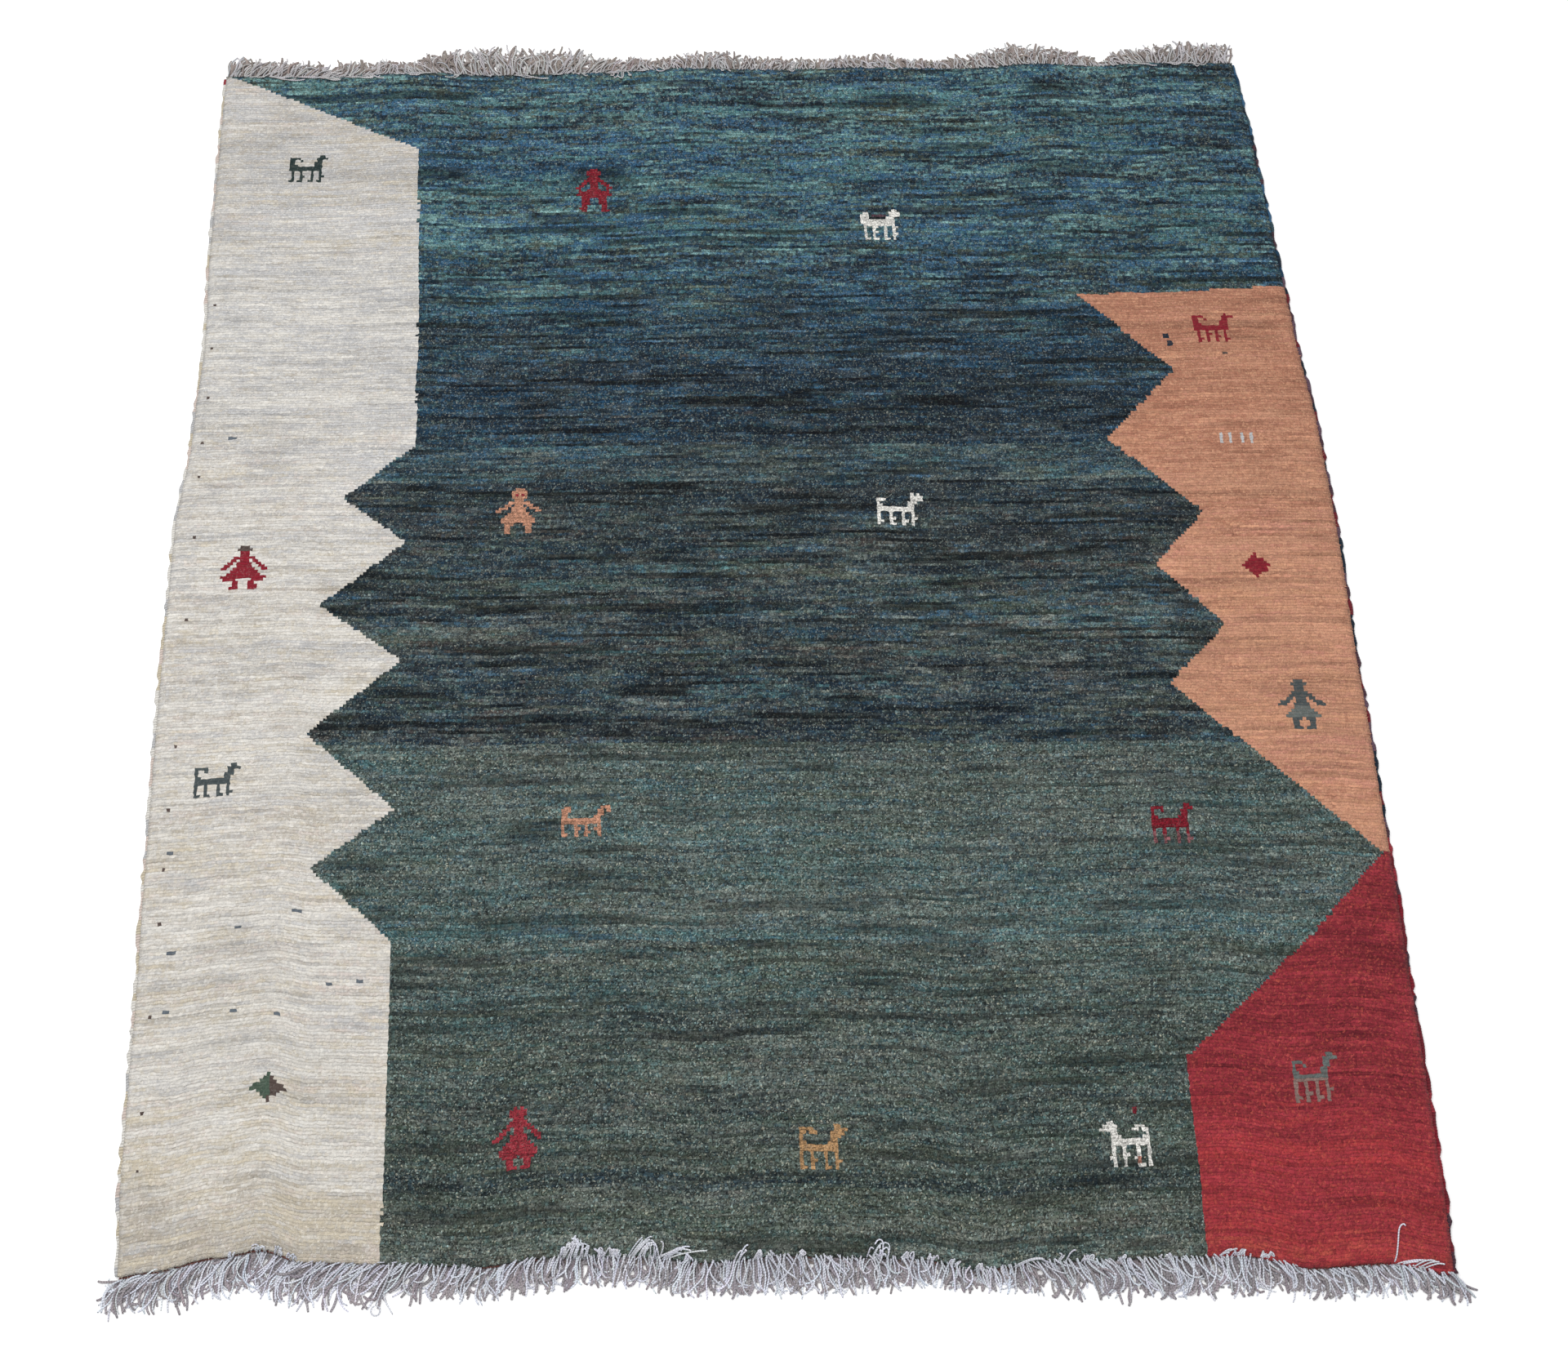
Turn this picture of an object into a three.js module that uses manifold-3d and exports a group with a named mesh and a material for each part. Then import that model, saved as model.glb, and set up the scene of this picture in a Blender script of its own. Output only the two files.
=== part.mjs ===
// Gabbeh rug: a thick hand-knotted wool rug that lies flat on a floor.
// Units are millimetres. X runs across the rug, Y along it towards its far end, Z is up.
// The pieces are the knotted field, an overcast cord sewn along each side, a twined row across
// each end, and the warp fringe of each end, whose locks grow out of a narrow woven strip.
import * as THREE from 'three';
import Module from 'manifold-3d';
import { mergeVertices } from 'three/addons/utils/BufferGeometryUtils.js';

const wasm = await Module();
wasm.setup();

// Driving sizes of the knotted field
const pileWidth = 1500;
const pileLength = 1700;
const farEndDrift = -40;
const pileTop = 12;
const pileUnevenness = 0.8;
const rimBand = 9;
const rimDrop = 4.5;
const rimInset = 3;
const wallTop = 6;

// Driving sizes of the edge finishes
const seam = 0.3;
const edgeRounding = 0.5;
const selvedgeWidth = 6.5;
const selvedgeHeight = 6;
const selvedgeSides = 8;
const selvedgeKnobble = 0.35;
const endRowWidth = 3;
const endRowHeight = 3.6;
const webWidth = 5;
const webHeight = 2.8;

// Driving sizes of the fringe
const locksPerEnd = 148;
const lockWidth = 4.4;
const lockHeight = 2.4;
const lockTipShare = 0.62;
const lockSteps = 3;
const lockBend = 0.45;
const lockRootDepth = 1.6;
const lockCornerInset = 4;
const leanJitter = 0.05;
const lengthJitter = 0.09;

// Cells of the field, shared by every piece that follows an edge
const cellsAcross = 30;
const cellsAlong = 32;

// How far each side bows out from a straight edge, by distance from the near end
const sideBow = [
  { along: 0, left: 0, right: 1 },
  { along: 110, left: 6, right: 7 },
  { along: 280, left: 8, right: 11 },
  { along: 460, left: 12, right: 16 },
  { along: 700, left: 16, right: 20 },
  { along: 930, left: 16, right: 26 },
  { along: 1080, left: 4, right: 26 },
  { along: 1230, left: -1, right: 18 },
  { along: 1400, left: 4, right: 13 },
  { along: 1560, left: 4, right: 9 },
  { along: 1700, left: 4, right: 1 },
];

// How far each point of the near end is drawn in, by distance from the left corner
const nearWave = [
  { across: 0, drawn: -14 },
  { across: 36, drawn: -8 },
  { across: 108, drawn: 7 },
  { across: 160, drawn: 16 },
  { across: 212, drawn: 2 },
  { across: 300, drawn: 0 },
  { across: 400, drawn: -3 },
  { across: 494, drawn: 7 },
  { across: 580, drawn: 9 },
  { across: 664, drawn: 2 },
  { across: 755, drawn: 9 },
  { across: 900, drawn: 6 },
  { across: 968, drawn: -5 },
  { across: 1060, drawn: 3 },
  { across: 1200, drawn: 7 },
  { across: 1265, drawn: 9 },
  { across: 1346, drawn: -4 },
  { across: 1430, drawn: 1 },
  { across: 1500, drawn: -11 },
];

// How far each point of the far end reaches past a straight edge
const farWave = [
  { across: 0, reach: 0 },
  { across: 150, reach: -2 },
  { across: 290, reach: 6 },
  { across: 400, reach: -2 },
  { across: 560, reach: 1 },
  { across: 680, reach: 8 },
  { across: 820, reach: 3 },
  { across: 920, reach: 6 },
  { across: 1100, reach: 2 },
  { across: 1210, reach: 10 },
  { across: 1300, reach: 4 },
  { across: 1380, reach: 9 },
  { across: 1500, reach: 6 },
];

// How the locks of the near fringe lie: their slant is sideways run for each unit outwards
const nearFringe = [
  { across: 0, slant: -1.0, length: 54 },
  { across: 70, slant: -0.8, length: 48 },
  { across: 150, slant: -0.4, length: 38 },
  { across: 230, slant: -1.1, length: 52 },
  { across: 300, slant: -1.1, length: 56 },
  { across: 380, slant: -0.5, length: 48 },
  { across: 480, slant: -0.5, length: 46 },
  { across: 550, slant: -0.1, length: 34 },
  { across: 630, slant: -0.2, length: 38 },
  { across: 710, slant: 0.05, length: 36 },
  { across: 770, slant: 0.3, length: 40 },
  { across: 860, slant: 0.3, length: 38 },
  { across: 930, slant: 0.1, length: 28 },
  { across: 990, slant: 0.2, length: 30 },
  { across: 1050, slant: 0.9, length: 50 },
  { across: 1150, slant: 0.6, length: 46 },
  { across: 1250, slant: 0.4, length: 46 },
  { across: 1350, slant: 0.7, length: 50 },
  { across: 1440, slant: 0.85, length: 52 },
  { across: 1500, slant: 0.9, length: 56 },
];

const farFringe = [
  { across: 0, slant: -0.4, length: 38 },
  { across: 60, slant: 0.5, length: 30 },
  { across: 120, slant: 0.8, length: 22 },
  { across: 200, slant: 0.7, length: 26 },
  { across: 280, slant: -0.6, length: 28 },
  { across: 340, slant: -0.4, length: 42 },
  { across: 400, slant: -0.2, length: 48 },
  { across: 490, slant: 0.1, length: 44 },
  { across: 570, slant: 0.7, length: 28 },
  { across: 650, slant: -0.4, length: 24 },
  { across: 730, slant: -0.1, length: 40 },
  { across: 790, slant: 0.3, length: 32 },
  { across: 880, slant: 0.2, length: 26 },
  { across: 980, slant: -0.4, length: 32 },
  { across: 1060, slant: 0.1, length: 20 },
  { across: 1120, slant: -0.3, length: 36 },
  { across: 1190, slant: 0, length: 42 },
  { across: 1260, slant: 0.3, length: 30 },
  { across: 1310, slant: -0.2, length: 18 },
  { across: 1350, slant: -0.6, length: 40 },
  { across: 1420, slant: 0.3, length: 44 },
  { across: 1500, slant: 0.4, length: 42 },
];

const finishes = {
  blueGreenPile: { color: 0x4a6068, roughness: 0.95, metalness: 0 },
  plumOvercast: { color: 0x5d4a5c, roughness: 0.9, metalness: 0 },
  redTwining: { color: 0x7d3c38, roughness: 0.9, metalness: 0 },
  greyWarp: { color: 0xaeb0b8, roughness: 0.9, metalness: 0 },
};

// Reads one column of a table at a place, eased between the two rows around it
function readTable(rows, placeColumn, valueColumn, place) {
  const last = rows.length - 1;
  if (place <= rows[0][placeColumn]) return rows[0][valueColumn];
  if (place >= rows[last][placeColumn]) return rows[last][valueColumn];
  const next = rows.findIndex((row) => row[placeColumn] > place);
  const before = rows[next - 1];
  const after = rows[next];
  const share = (place - before[placeColumn]) / (after[placeColumn] - before[placeColumn]);
  const eased = share * share * (3 - 2 * share);
  return before[valueColumn] + (after[valueColumn] - before[valueColumn]) * eased;
}

// Repeatable unevenness between -1 and 1 for a numbered lock, unlike for each phase
function wobble(number, phase) {
  return Math.sin(number * 12.9898 + phase * 78.233) * Math.cos(number * 4.1414 + phase);
}

// Lines of the cell grid: a narrow rim band at each side and even cells between
function gridLine(index, cells, size) {
  if (index === 0) return 0;
  if (index === cells) return size;
  return rimBand + ((index - 1) / (cells - 2)) * (size - 2 * rimBand);
}

const acrossLine = (index) => gridLine(index, cellsAcross, pileWidth);
const alongLine = (index) => gridLine(index, cellsAlong, pileLength);

// Outline of the field: x of a side at a distance along, y of an end at a distance across
const leftSide = (along) => -pileWidth / 2 - readTable(sideBow, 'along', 'left', along);
const rightSide = (along) => pileWidth / 2 + readTable(sideBow, 'along', 'right', along);
const nearEnd = (across) => -pileLength / 2 + readTable(nearWave, 'across', 'drawn', across);
const farEnd = (across) => pileLength / 2 + readTable(farWave, 'across', 'reach', across);

// Place on the rug of a point given across and along the straight cloth. The far end was woven a
// little to the left of the near one, so the whole cloth drifts that way.
function onRug(across, along) {
  const shareAcross = across / pileWidth;
  const shareAlong = along / pileLength;
  const drift = farEndDrift * (shareAlong - 0.5);
  const x = leftSide(along) * (1 - shareAcross) + rightSide(along) * shareAcross + drift;
  const y = nearEnd(across) * (1 - shareAlong) + farEnd(across) * shareAlong;
  return { x, y };
}

// Place on an end's outline, also between two grid lines, where the outline runs straight
function onEnd(across, along) {
  let index = 1;
  while (index < cellsAcross && acrossLine(index) < across) index += 1;
  const from = acrossLine(index - 1);
  const to = acrossLine(index);
  const share = (across - from) / (to - from);
  const start = onRug(from, along);
  const end = onRug(to, along);
  return { x: start.x + (end.x - start.x) * share, y: start.y + (end.y - start.y) * share };
}

// Height of the pile: long, low swells over the whole field
function pileHeight(x, y) {
  const swell = Math.sin(x / 97 + y / 211) * Math.cos(y / 83 - x / 303);
  const ripple = Math.sin(y / 61) * Math.sin(x / 149 + 1);
  return pileTop + pileUnevenness * (0.7 * swell + 0.3 * ripple);
}

// Moves every point of a geometry by a function that returns its new place
function reshape(geometry, placeOf) {
  const points = geometry.attributes.position;
  for (let i = 0; i < points.count; i += 1) {
    const place = placeOf(points.getX(i), points.getY(i), points.getZ(i));
    points.setXYZ(i, place.x, place.y, place.z);
  }
  geometry.deleteAttribute('uv');
  geometry.deleteAttribute('normal');
  const joined = mergeVertices(geometry, 1e-4);
  joined.computeVertexNormals();
  return joined;
}

function makeMesh(name, geometry, finish) {
  const mesh = new THREE.Mesh(geometry, new THREE.MeshStandardMaterial(finish));
  mesh.name = name;
  return mesh;
}

// The knotted field: a slab on a grid, flat below, upright at its foot and rounded at its rim
function makeField() {
  const slab = new THREE.BoxGeometry(cellsAcross, cellsAlong, 2, cellsAcross, cellsAlong, 2);
  return reshape(slab, (px, py, pz) => {
    const column = Math.round(px + cellsAcross / 2);
    const row = Math.round(py + cellsAlong / 2);
    const level = Math.round(pz + 1);
    const place = onRug(acrossLine(column), alongLine(row));
    const sideways = Number(column === cellsAcross) - Number(column === 0);
    const lengthways = Number(row === cellsAlong) - Number(row === 0);
    const onRim = sideways !== 0 || lengthways !== 0;
    const inset = level === 2 ? rimInset : 0;
    const top = pileHeight(place.x, place.y) - (onRim ? rimDrop : 0);
    const heights = [0, wallTop, top];
    return { x: place.x - sideways * inset, y: place.y - lengthways * inset, z: heights[level] };
  });
}

// A side's overcast cord: a many-sided bar that follows the side, thicker at every other step
function makeSelvedge(side) {
  const bar = new THREE.CylinderGeometry(1, 1, cellsAlong, selvedgeSides, cellsAlong);
  const across = side < 0 ? 0 : pileWidth;
  const halfTurn = Math.PI / selvedgeSides;
  const flatReach = Math.cos(halfTurn);
  bar.rotateY(halfTurn);
  return reshape(bar, (px, py, pz) => {
    const row = Math.round(py + cellsAlong / 2);
    const edge = onRug(across, alongLine(row));
    const thinner = row % 2 === 0 ? 0 : selvedgeKnobble;
    const halfWidth = selvedgeWidth / 2 - thinner;
    const halfHeight = selvedgeHeight / 2 - (pz > 0 ? thinner : 0);
    const middle = edge.x + side * (seam + selvedgeWidth / 2);
    return {
      x: middle + (px / flatReach) * halfWidth,
      y: edge.y,
      z: selvedgeHeight / 2 + (pz / flatReach) * halfHeight,
    };
  });
}

// A bar on the floor that follows an end's outline at a distance outside it
function makeEndBar(end, distance, width, height) {
  const bar = new THREE.BoxGeometry(cellsAcross, 2, 2, cellsAcross, 1, 1);
  const along = end < 0 ? 0 : pileLength;
  return reshape(bar, (px, py, pz) => {
    const column = Math.round(px + cellsAcross / 2);
    const edge = onRug(acrossLine(column), along);
    const upper = pz > 0;
    const outer = py * end > 0;
    const inward = upper ? edgeRounding : 0;
    const out = outer ? distance + width - inward : distance + inward;
    return { x: edge.x, y: edge.y + end * out, z: upper ? height : 0 };
  });
}

// One lock: a three-sided tapering bar that lies on the floor and bends further over to its tip
function makeLock(end, number, table) {
  const spacing = (pileWidth - 2 * lockCornerInset) / (locksPerEnd - 1);
  const across = lockCornerInset + number * spacing;
  const root = onEnd(across, end < 0 ? 0 : pileLength);
  const slant = readTable(table, 'across', 'slant', across) + leanJitter * wobble(number, 1);
  const uneven = 1 + lengthJitter * wobble(number, 2);
  const length = readTable(table, 'across', 'length', across) * uneven;
  const direction = Math.hypot(1, slant);
  const reach = length / direction;
  const rootLine = seam + endRowWidth + seam + webWidth - lockRootDepth;
  const bar = new THREE.CylinderGeometry(1, 1, lockSteps, 3, lockSteps);
  const widest = Math.sqrt(3) / 2;
  const lowest = -0.5;
  const tallness = 1.5;
  return reshape(bar, (px, py, pz) => {
    const share = (py + lockSteps / 2) / lockSteps;
    const size = 1 - (1 - lockTipShare) * share;
    const sideways = slant * reach * share * (1 - lockBend + lockBend * share);
    const outwards = rootLine + (reach + lockRootDepth) * share;
    const width = (px / widest) * (lockWidth / 2) * size;
    const height = ((pz - lowest) / tallness) * lockHeight * size;
    return {
      x: root.x + sideways + end * width,
      y: root.y + end * outwards,
      z: height,
    };
  });
}

// Turns a closed geometry into a solid that can be joined, and back
function toSolid(geometry) {
  const bare = new THREE.BufferGeometry();
  bare.setAttribute('position', geometry.attributes.position);
  bare.setIndex(geometry.index);
  const joined = mergeVertices(bare, 1e-4);
  const vertProperties = Float32Array.from(joined.attributes.position.array);
  const triVerts = Uint32Array.from(joined.index.array);
  return new wasm.Manifold(new wasm.Mesh({ numProp: 3, vertProperties, triVerts }));
}

function toGeometry(solid) {
  const mesh = solid.getMesh();
  const geometry = new THREE.BufferGeometry();
  geometry.setAttribute('position', new THREE.BufferAttribute(mesh.vertProperties, 3));
  geometry.setIndex(new THREE.BufferAttribute(mesh.triVerts, 1));
  geometry.computeVertexNormals();
  return geometry;
}

// A fringe: its narrow woven strip with every lock joined to it at the root
function makeFringe(end, table) {
  const webStart = seam + endRowWidth + seam;
  let solid = toSolid(makeEndBar(end, webStart, webWidth, webHeight));
  for (let number = 0; number < locksPerEnd; number += 1) {
    solid = solid.add(toSolid(makeLock(end, number, table)));
  }
  return toGeometry(solid);
}

const rug = new THREE.Group();
rug.add(makeMesh('pile_field', makeField(), finishes.blueGreenPile));
rug.add(makeMesh('selvedge_left', makeSelvedge(-1), finishes.plumOvercast));
rug.add(makeMesh('selvedge_right', makeSelvedge(1), finishes.plumOvercast));
rug.add(makeMesh('end_row_near', makeEndBar(-1, seam, endRowWidth, endRowHeight), finishes.redTwining));
rug.add(makeMesh('end_row_far', makeEndBar(1, seam, endRowWidth, endRowHeight), finishes.redTwining));
rug.add(makeMesh('fringe_near', makeFringe(-1, nearFringe), finishes.greyWarp));
rug.add(makeMesh('fringe_far', makeFringe(1, farFringe), finishes.greyWarp));

// The origin is under the middle of the whole rug, fringes and cords included
const whole = new THREE.Box3().setFromObject(rug);
const middle = whole.getCenter(new THREE.Vector3());
rug.position.set(-middle.x, -middle.y, -whole.min.z);

export default rug;
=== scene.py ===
import math

import bpy
import numpy as np
from bpy.props import FloatProperty, FloatVectorProperty, IntProperty, PointerProperty
from mathutils import Matrix, Vector


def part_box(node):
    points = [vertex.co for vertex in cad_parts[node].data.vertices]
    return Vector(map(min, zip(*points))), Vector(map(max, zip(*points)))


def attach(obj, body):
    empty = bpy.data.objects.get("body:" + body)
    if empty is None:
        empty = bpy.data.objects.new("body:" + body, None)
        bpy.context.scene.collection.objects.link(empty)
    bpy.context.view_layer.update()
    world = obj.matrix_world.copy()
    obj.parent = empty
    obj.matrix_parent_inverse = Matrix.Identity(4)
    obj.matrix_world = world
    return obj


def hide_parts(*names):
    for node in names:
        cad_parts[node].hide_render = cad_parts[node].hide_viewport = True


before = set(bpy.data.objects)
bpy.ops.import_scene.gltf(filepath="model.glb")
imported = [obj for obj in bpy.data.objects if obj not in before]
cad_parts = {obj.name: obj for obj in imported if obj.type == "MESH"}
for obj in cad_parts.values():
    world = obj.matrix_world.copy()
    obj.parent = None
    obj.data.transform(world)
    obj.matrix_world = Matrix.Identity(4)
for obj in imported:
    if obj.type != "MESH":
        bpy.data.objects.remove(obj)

bl_info = {
    "name": "Gabbeh rug",
    "version": (1, 0, 0),
    "blender": (4, 5, 0),
    "location": "3D View > Sidebar > Rug",
    "description": "Builds a hand-knotted gabbeh rug with its pile, cords and fringes",
    "category": "Add Mesh",
}

# Sizes of the straight cloth, in metres. Across runs from the left side, along from the near end.
MM = 0.001
WIDTH = 1.5
LENGTH = 1.7
FAR_END_DRIFT = -0.04
UP = np.array([0.0, 0.0, 1.0])


def table(columns, rows):
    """A table of numbers as one array for each named column."""
    return dict(zip(columns.split(), np.array(rows, float).T))


# How far each side bows out and each end waves, in millimetres, as in the CAD model
SIDE_BOW = table("along left right", [
    (0, 0, 1), (110, 6, 7), (280, 8, 11), (460, 12, 16), (700, 16, 20), (930, 16, 26),
    (1080, 4, 26), (1230, -1, 18), (1400, 4, 13), (1560, 4, 9), (1700, 4, 1),
])
NEAR_WAVE = table("across drawn", [
    (0, -14), (36, -8), (108, 7), (160, 16), (212, 2), (300, 0), (400, -3), (494, 7), (580, 9),
    (664, 2), (755, 9), (900, 6), (968, -5), (1060, 3), (1200, 7), (1265, 9), (1346, -4),
    (1430, 1), (1500, -11),
])
FAR_WAVE = table("across reach", [
    (0, 0), (150, -2), (290, 6), (400, -2), (560, 1), (680, 8), (820, 3), (920, 6), (1100, 2),
    (1210, 10), (1300, 4), (1380, 9), (1500, 6),
])

# How the fringe lies: slant is sideways run for each unit outwards, length in millimetres
NEAR_FRINGE = table("across slant length", [
    (0, -0.8, 47), (70, -0.8, 53), (150, -0.4, 47), (230, -1.1, 62), (300, -1.1, 59),
    (380, -0.5, 42), (480, -0.5, 42), (550, -0.1, 36), (630, -0.2, 42), (710, 0.05, 45),
    (770, 0.3, 49), (860, 0.3, 42), (930, 0.1, 29), (990, 0.2, 28), (1050, 0.9, 46),
    (1150, 0.6, 52), (1250, 0.4, 49), (1350, 0.7, 38), (1440, 0.85, 37), (1500, 0.7, 39),
])
FAR_FRINGE = table("across slant length", [
    (0, 0.1, 47), (60, 0.6, 44), (120, 0.8, 42), (200, 0.7, 40), (280, -0.6, 34),
    (340, -0.4, 60), (400, -0.2, 68), (490, 0.1, 62), (570, 0.7, 42), (650, -0.4, 31),
    (730, -0.1, 46), (790, 0.3, 36), (880, 0.2, 30), (980, -0.4, 37), (1060, 0.1, 24),
    (1120, -0.3, 41), (1190, 0, 54), (1260, 0.3, 38), (1310, -0.2, 19), (1350, -0.6, 39),
    (1420, 0.5, 52), (1500, -0.2, 45),
])

# Strands of the near fringe that curl back over the pile: where, how far, and which way
NEAR_CURLS = table("across size lean turns count stop", [
    (502, 17, 0.5, 0.5, 8, 0.75), (514, 24, 0.1, 0.4, 7, 0.62), (524, 16, -0.3, 0.6, 6, 0.85),
    (546, 10, 0.6, 0.9, 7, 0.95), (562, 8, 0.6, 0.8, 6, 0.95), (580, 21, 0.9, 0.3, 7, 0.56),
    (588, 15, 0.8, 0.5, 6, 0.70), (606, 22, -0.3, 0.3, 5, 0.58), (612, 9, 4.5, 0.3, 4, 0.60),
    (622, 15, 1.6, 0.3, 4, 0.60), (640, 8, 0.7, 0.7, 5, 0.90), (698, 17, 0.7, 0.1, 3, 0.52),
    (722, 9, 0.8, 0.6, 6, 0.80), (734, 8, 0.8, 0.8, 5, 0.90), (770, 7, 0.8, 0.6, 5, 0.90),
    (850, 17, 0.4, 0.3, 3, 0.65), (868, 18, -0.6, 0.4, 3, 0.75), (858, 9, 1.2, 0.6, 5, 0.80),
    (890, 8, 0.8, 0.7, 6, 0.90), (915, 7, 0.8, 0.7, 6, 0.90), (940, 7, 0.8, 0.7, 6, 0.90),
    (968, 7, 0.9, 0.6, 6, 0.90), (1012, 9, 3.4, 0.2, 3, 0.60), (1060, 12, 0.7, 0.3, 3, 0.55),
    (1090, 7, 0.8, 0.6, 5, 0.85), (1130, 6, 0.8, 0.6, 5, 0.85), (1180, 7, 0.8, 0.6, 5, 0.85),
    (1236, 9, 2.2, 0.3, 3, 0.60), (1262, 8, 0.9, 0.6, 8, 0.85), (1290, 8, 0.8, 0.6, 8, 0.85),
    (1443, 40, 0.1, 0.15, 1, 0.50), (1432, 6, 7.5, 0.2, 4, 0.60), (1462, 8, 4.0, 0.2, 3, 0.60),
    (128, 5, 0.5, 0.6, 5, 0.85), (160, 6, -0.6, 0.6, 6, 0.85), (178, 7, 0.6, 0.6, 6, 0.85),
    (196, 7, -0.7, 0.5, 4, 0.85),
])

FAR_CURLS = table("across size lean turns count stop", [
    (30, 9, 3.0, 0.3, 4, 0.62), (62, 12, 4.0, 0.2, 4, 0.58), (96, 8, 5.0, 0.3, 4, 0.66),
    (130, 13, 3.0, 0.4, 4, 0.62), (176, 10, 4.5, 0.3, 3, 0.62), (206, 14, 2.0, 0.5, 4, 0.66),
    (246, 9, 2.5, 0.4, 2, 0.76), (290, 13, -1.5, 0.5, 4, 0.64), (312, 9, -3.0, 0.3, 3, 0.66),
    (350, 14, -1.2, 0.4, 4, 0.60), (392, 10, 1.5, 0.5, 2, 0.80), (430, 13, 2.5, 0.3, 4, 0.60),
    (486, 9, 2.0, 0.4, 3, 0.75), (524, 12, 1.2, 0.5, 3, 0.66), (566, 9, 2.5, 0.4, 3, 0.75),
    (592, 17, -0.5, 0.3, 5, 0.58), (614, 8, 2.0, 0.5, 3, 0.80), (658, 11, -1.0, 0.5, 3, 0.68),
    (700, 7, 1.5, 0.5, 3, 0.84), (744, 11, 0.8, 0.5, 3, 0.66), (800, 7, 1.0, 0.6, 3, 0.84),
    (836, 9, 1.5, 0.5, 2, 0.80), (884, 8, 2.5, 0.4, 3, 0.76), (950, 7, 1.5, 0.5, 2, 0.84),
    (1006, 9, -1.5, 0.4, 3, 0.70), (1076, 6, 1.5, 0.5, 2, 0.84), (1140, 9, 1.2, 0.5, 3, 0.70),
    (1196, 7, -1.0, 0.5, 2, 0.84), (1262, 8, 2.5, 0.4, 3, 0.76), (1356, 11, 2.0, 0.4, 4, 0.64),
    (1398, 10, 2.5, 0.4, 3, 0.70), (1434, 12, 1.5, 0.4, 4, 0.62),
])

# Where the twined row shows between the pile and the fringe, from 0 to 1, in millimetres across
ROW_SHOWS = table("across near far", [
    (0, 1, 0.6), (60, 1, 0.2), (190, 1, 0), (210, 0.2, 0), (405, 0, 0), (415, 1, 0), (430, 1, 0),
    (440, 0, 0), (1320, 0, 0), (1340, 0.7, 0), (1440, 0.7, 0), (1460, 0, 0.3), (1500, 0, 0.5),
])

# Where each plain field ends, in millimetres: the cream one at the left, the red and the
# salmon one at the right. Between and above them lies the ground.
LEFT_FIELD = table("along across", [
    (0, 297), (372, 294), (464, 191), (539, 293), (640, 176), (741, 294), (821, 184),
    (913, 294), (979, 206), (1060, 302), (1278, 298), (1560, 290), (1700, 0),
])
RIGHT_FIELD = table("along across", [
    (0, 1229), (234, 1236), (236, 1244), (380, 1409), (480, 1508), (704, 1277), (788, 1361),
    (873, 1281), (951, 1355), (1063, 1239), (1171, 1344), (1296, 1225), (1299, 1353),
    (1305, 1470), (1307, 1530), (1700, 1700),
])
RED_TOP = 480

# Dyed yarns, as sRGB
YARNS = {
    "teal": (76, 118, 122), "blue": (54, 94, 126), "indigo": (27, 62, 88), "navy": (24, 38, 52),
    "olive": (82, 88, 75), "stone": (126, 131, 124), "umber": (80, 68, 64),
    "charcoal": (36, 42, 47), "cream": (207, 204, 198), "oat": (190, 180, 160),
    "ash": (176, 176, 177), "blush": (198, 184, 176), "salmon": (180, 131, 107),
    "apricot": (194, 142, 112), "rust": (154, 104, 84), "rose": (180, 124, 108),
    "crimson": (144, 48, 58), "scarlet": (158, 52, 56), "maroon": (106, 32, 42),
    "ember": (172, 80, 66), "slate": (90, 98, 106), "white": (216, 214, 208),
    "ochre": (168, 132, 94), "plum": (74, 50, 60), "moss": (68, 84, 72), "aqua": (116, 154, 152),
    "flax": (166, 158, 146), "ink": (54, 78, 88), "wine": (122, 26, 40), "heath": (96, 74, 88),
    "lead": (66, 74, 76), "pine": (34, 48, 48), "pewter": (94, 100, 98), "drab": (124, 104, 98),
    "dusk": (132, 84, 88),
}

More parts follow.
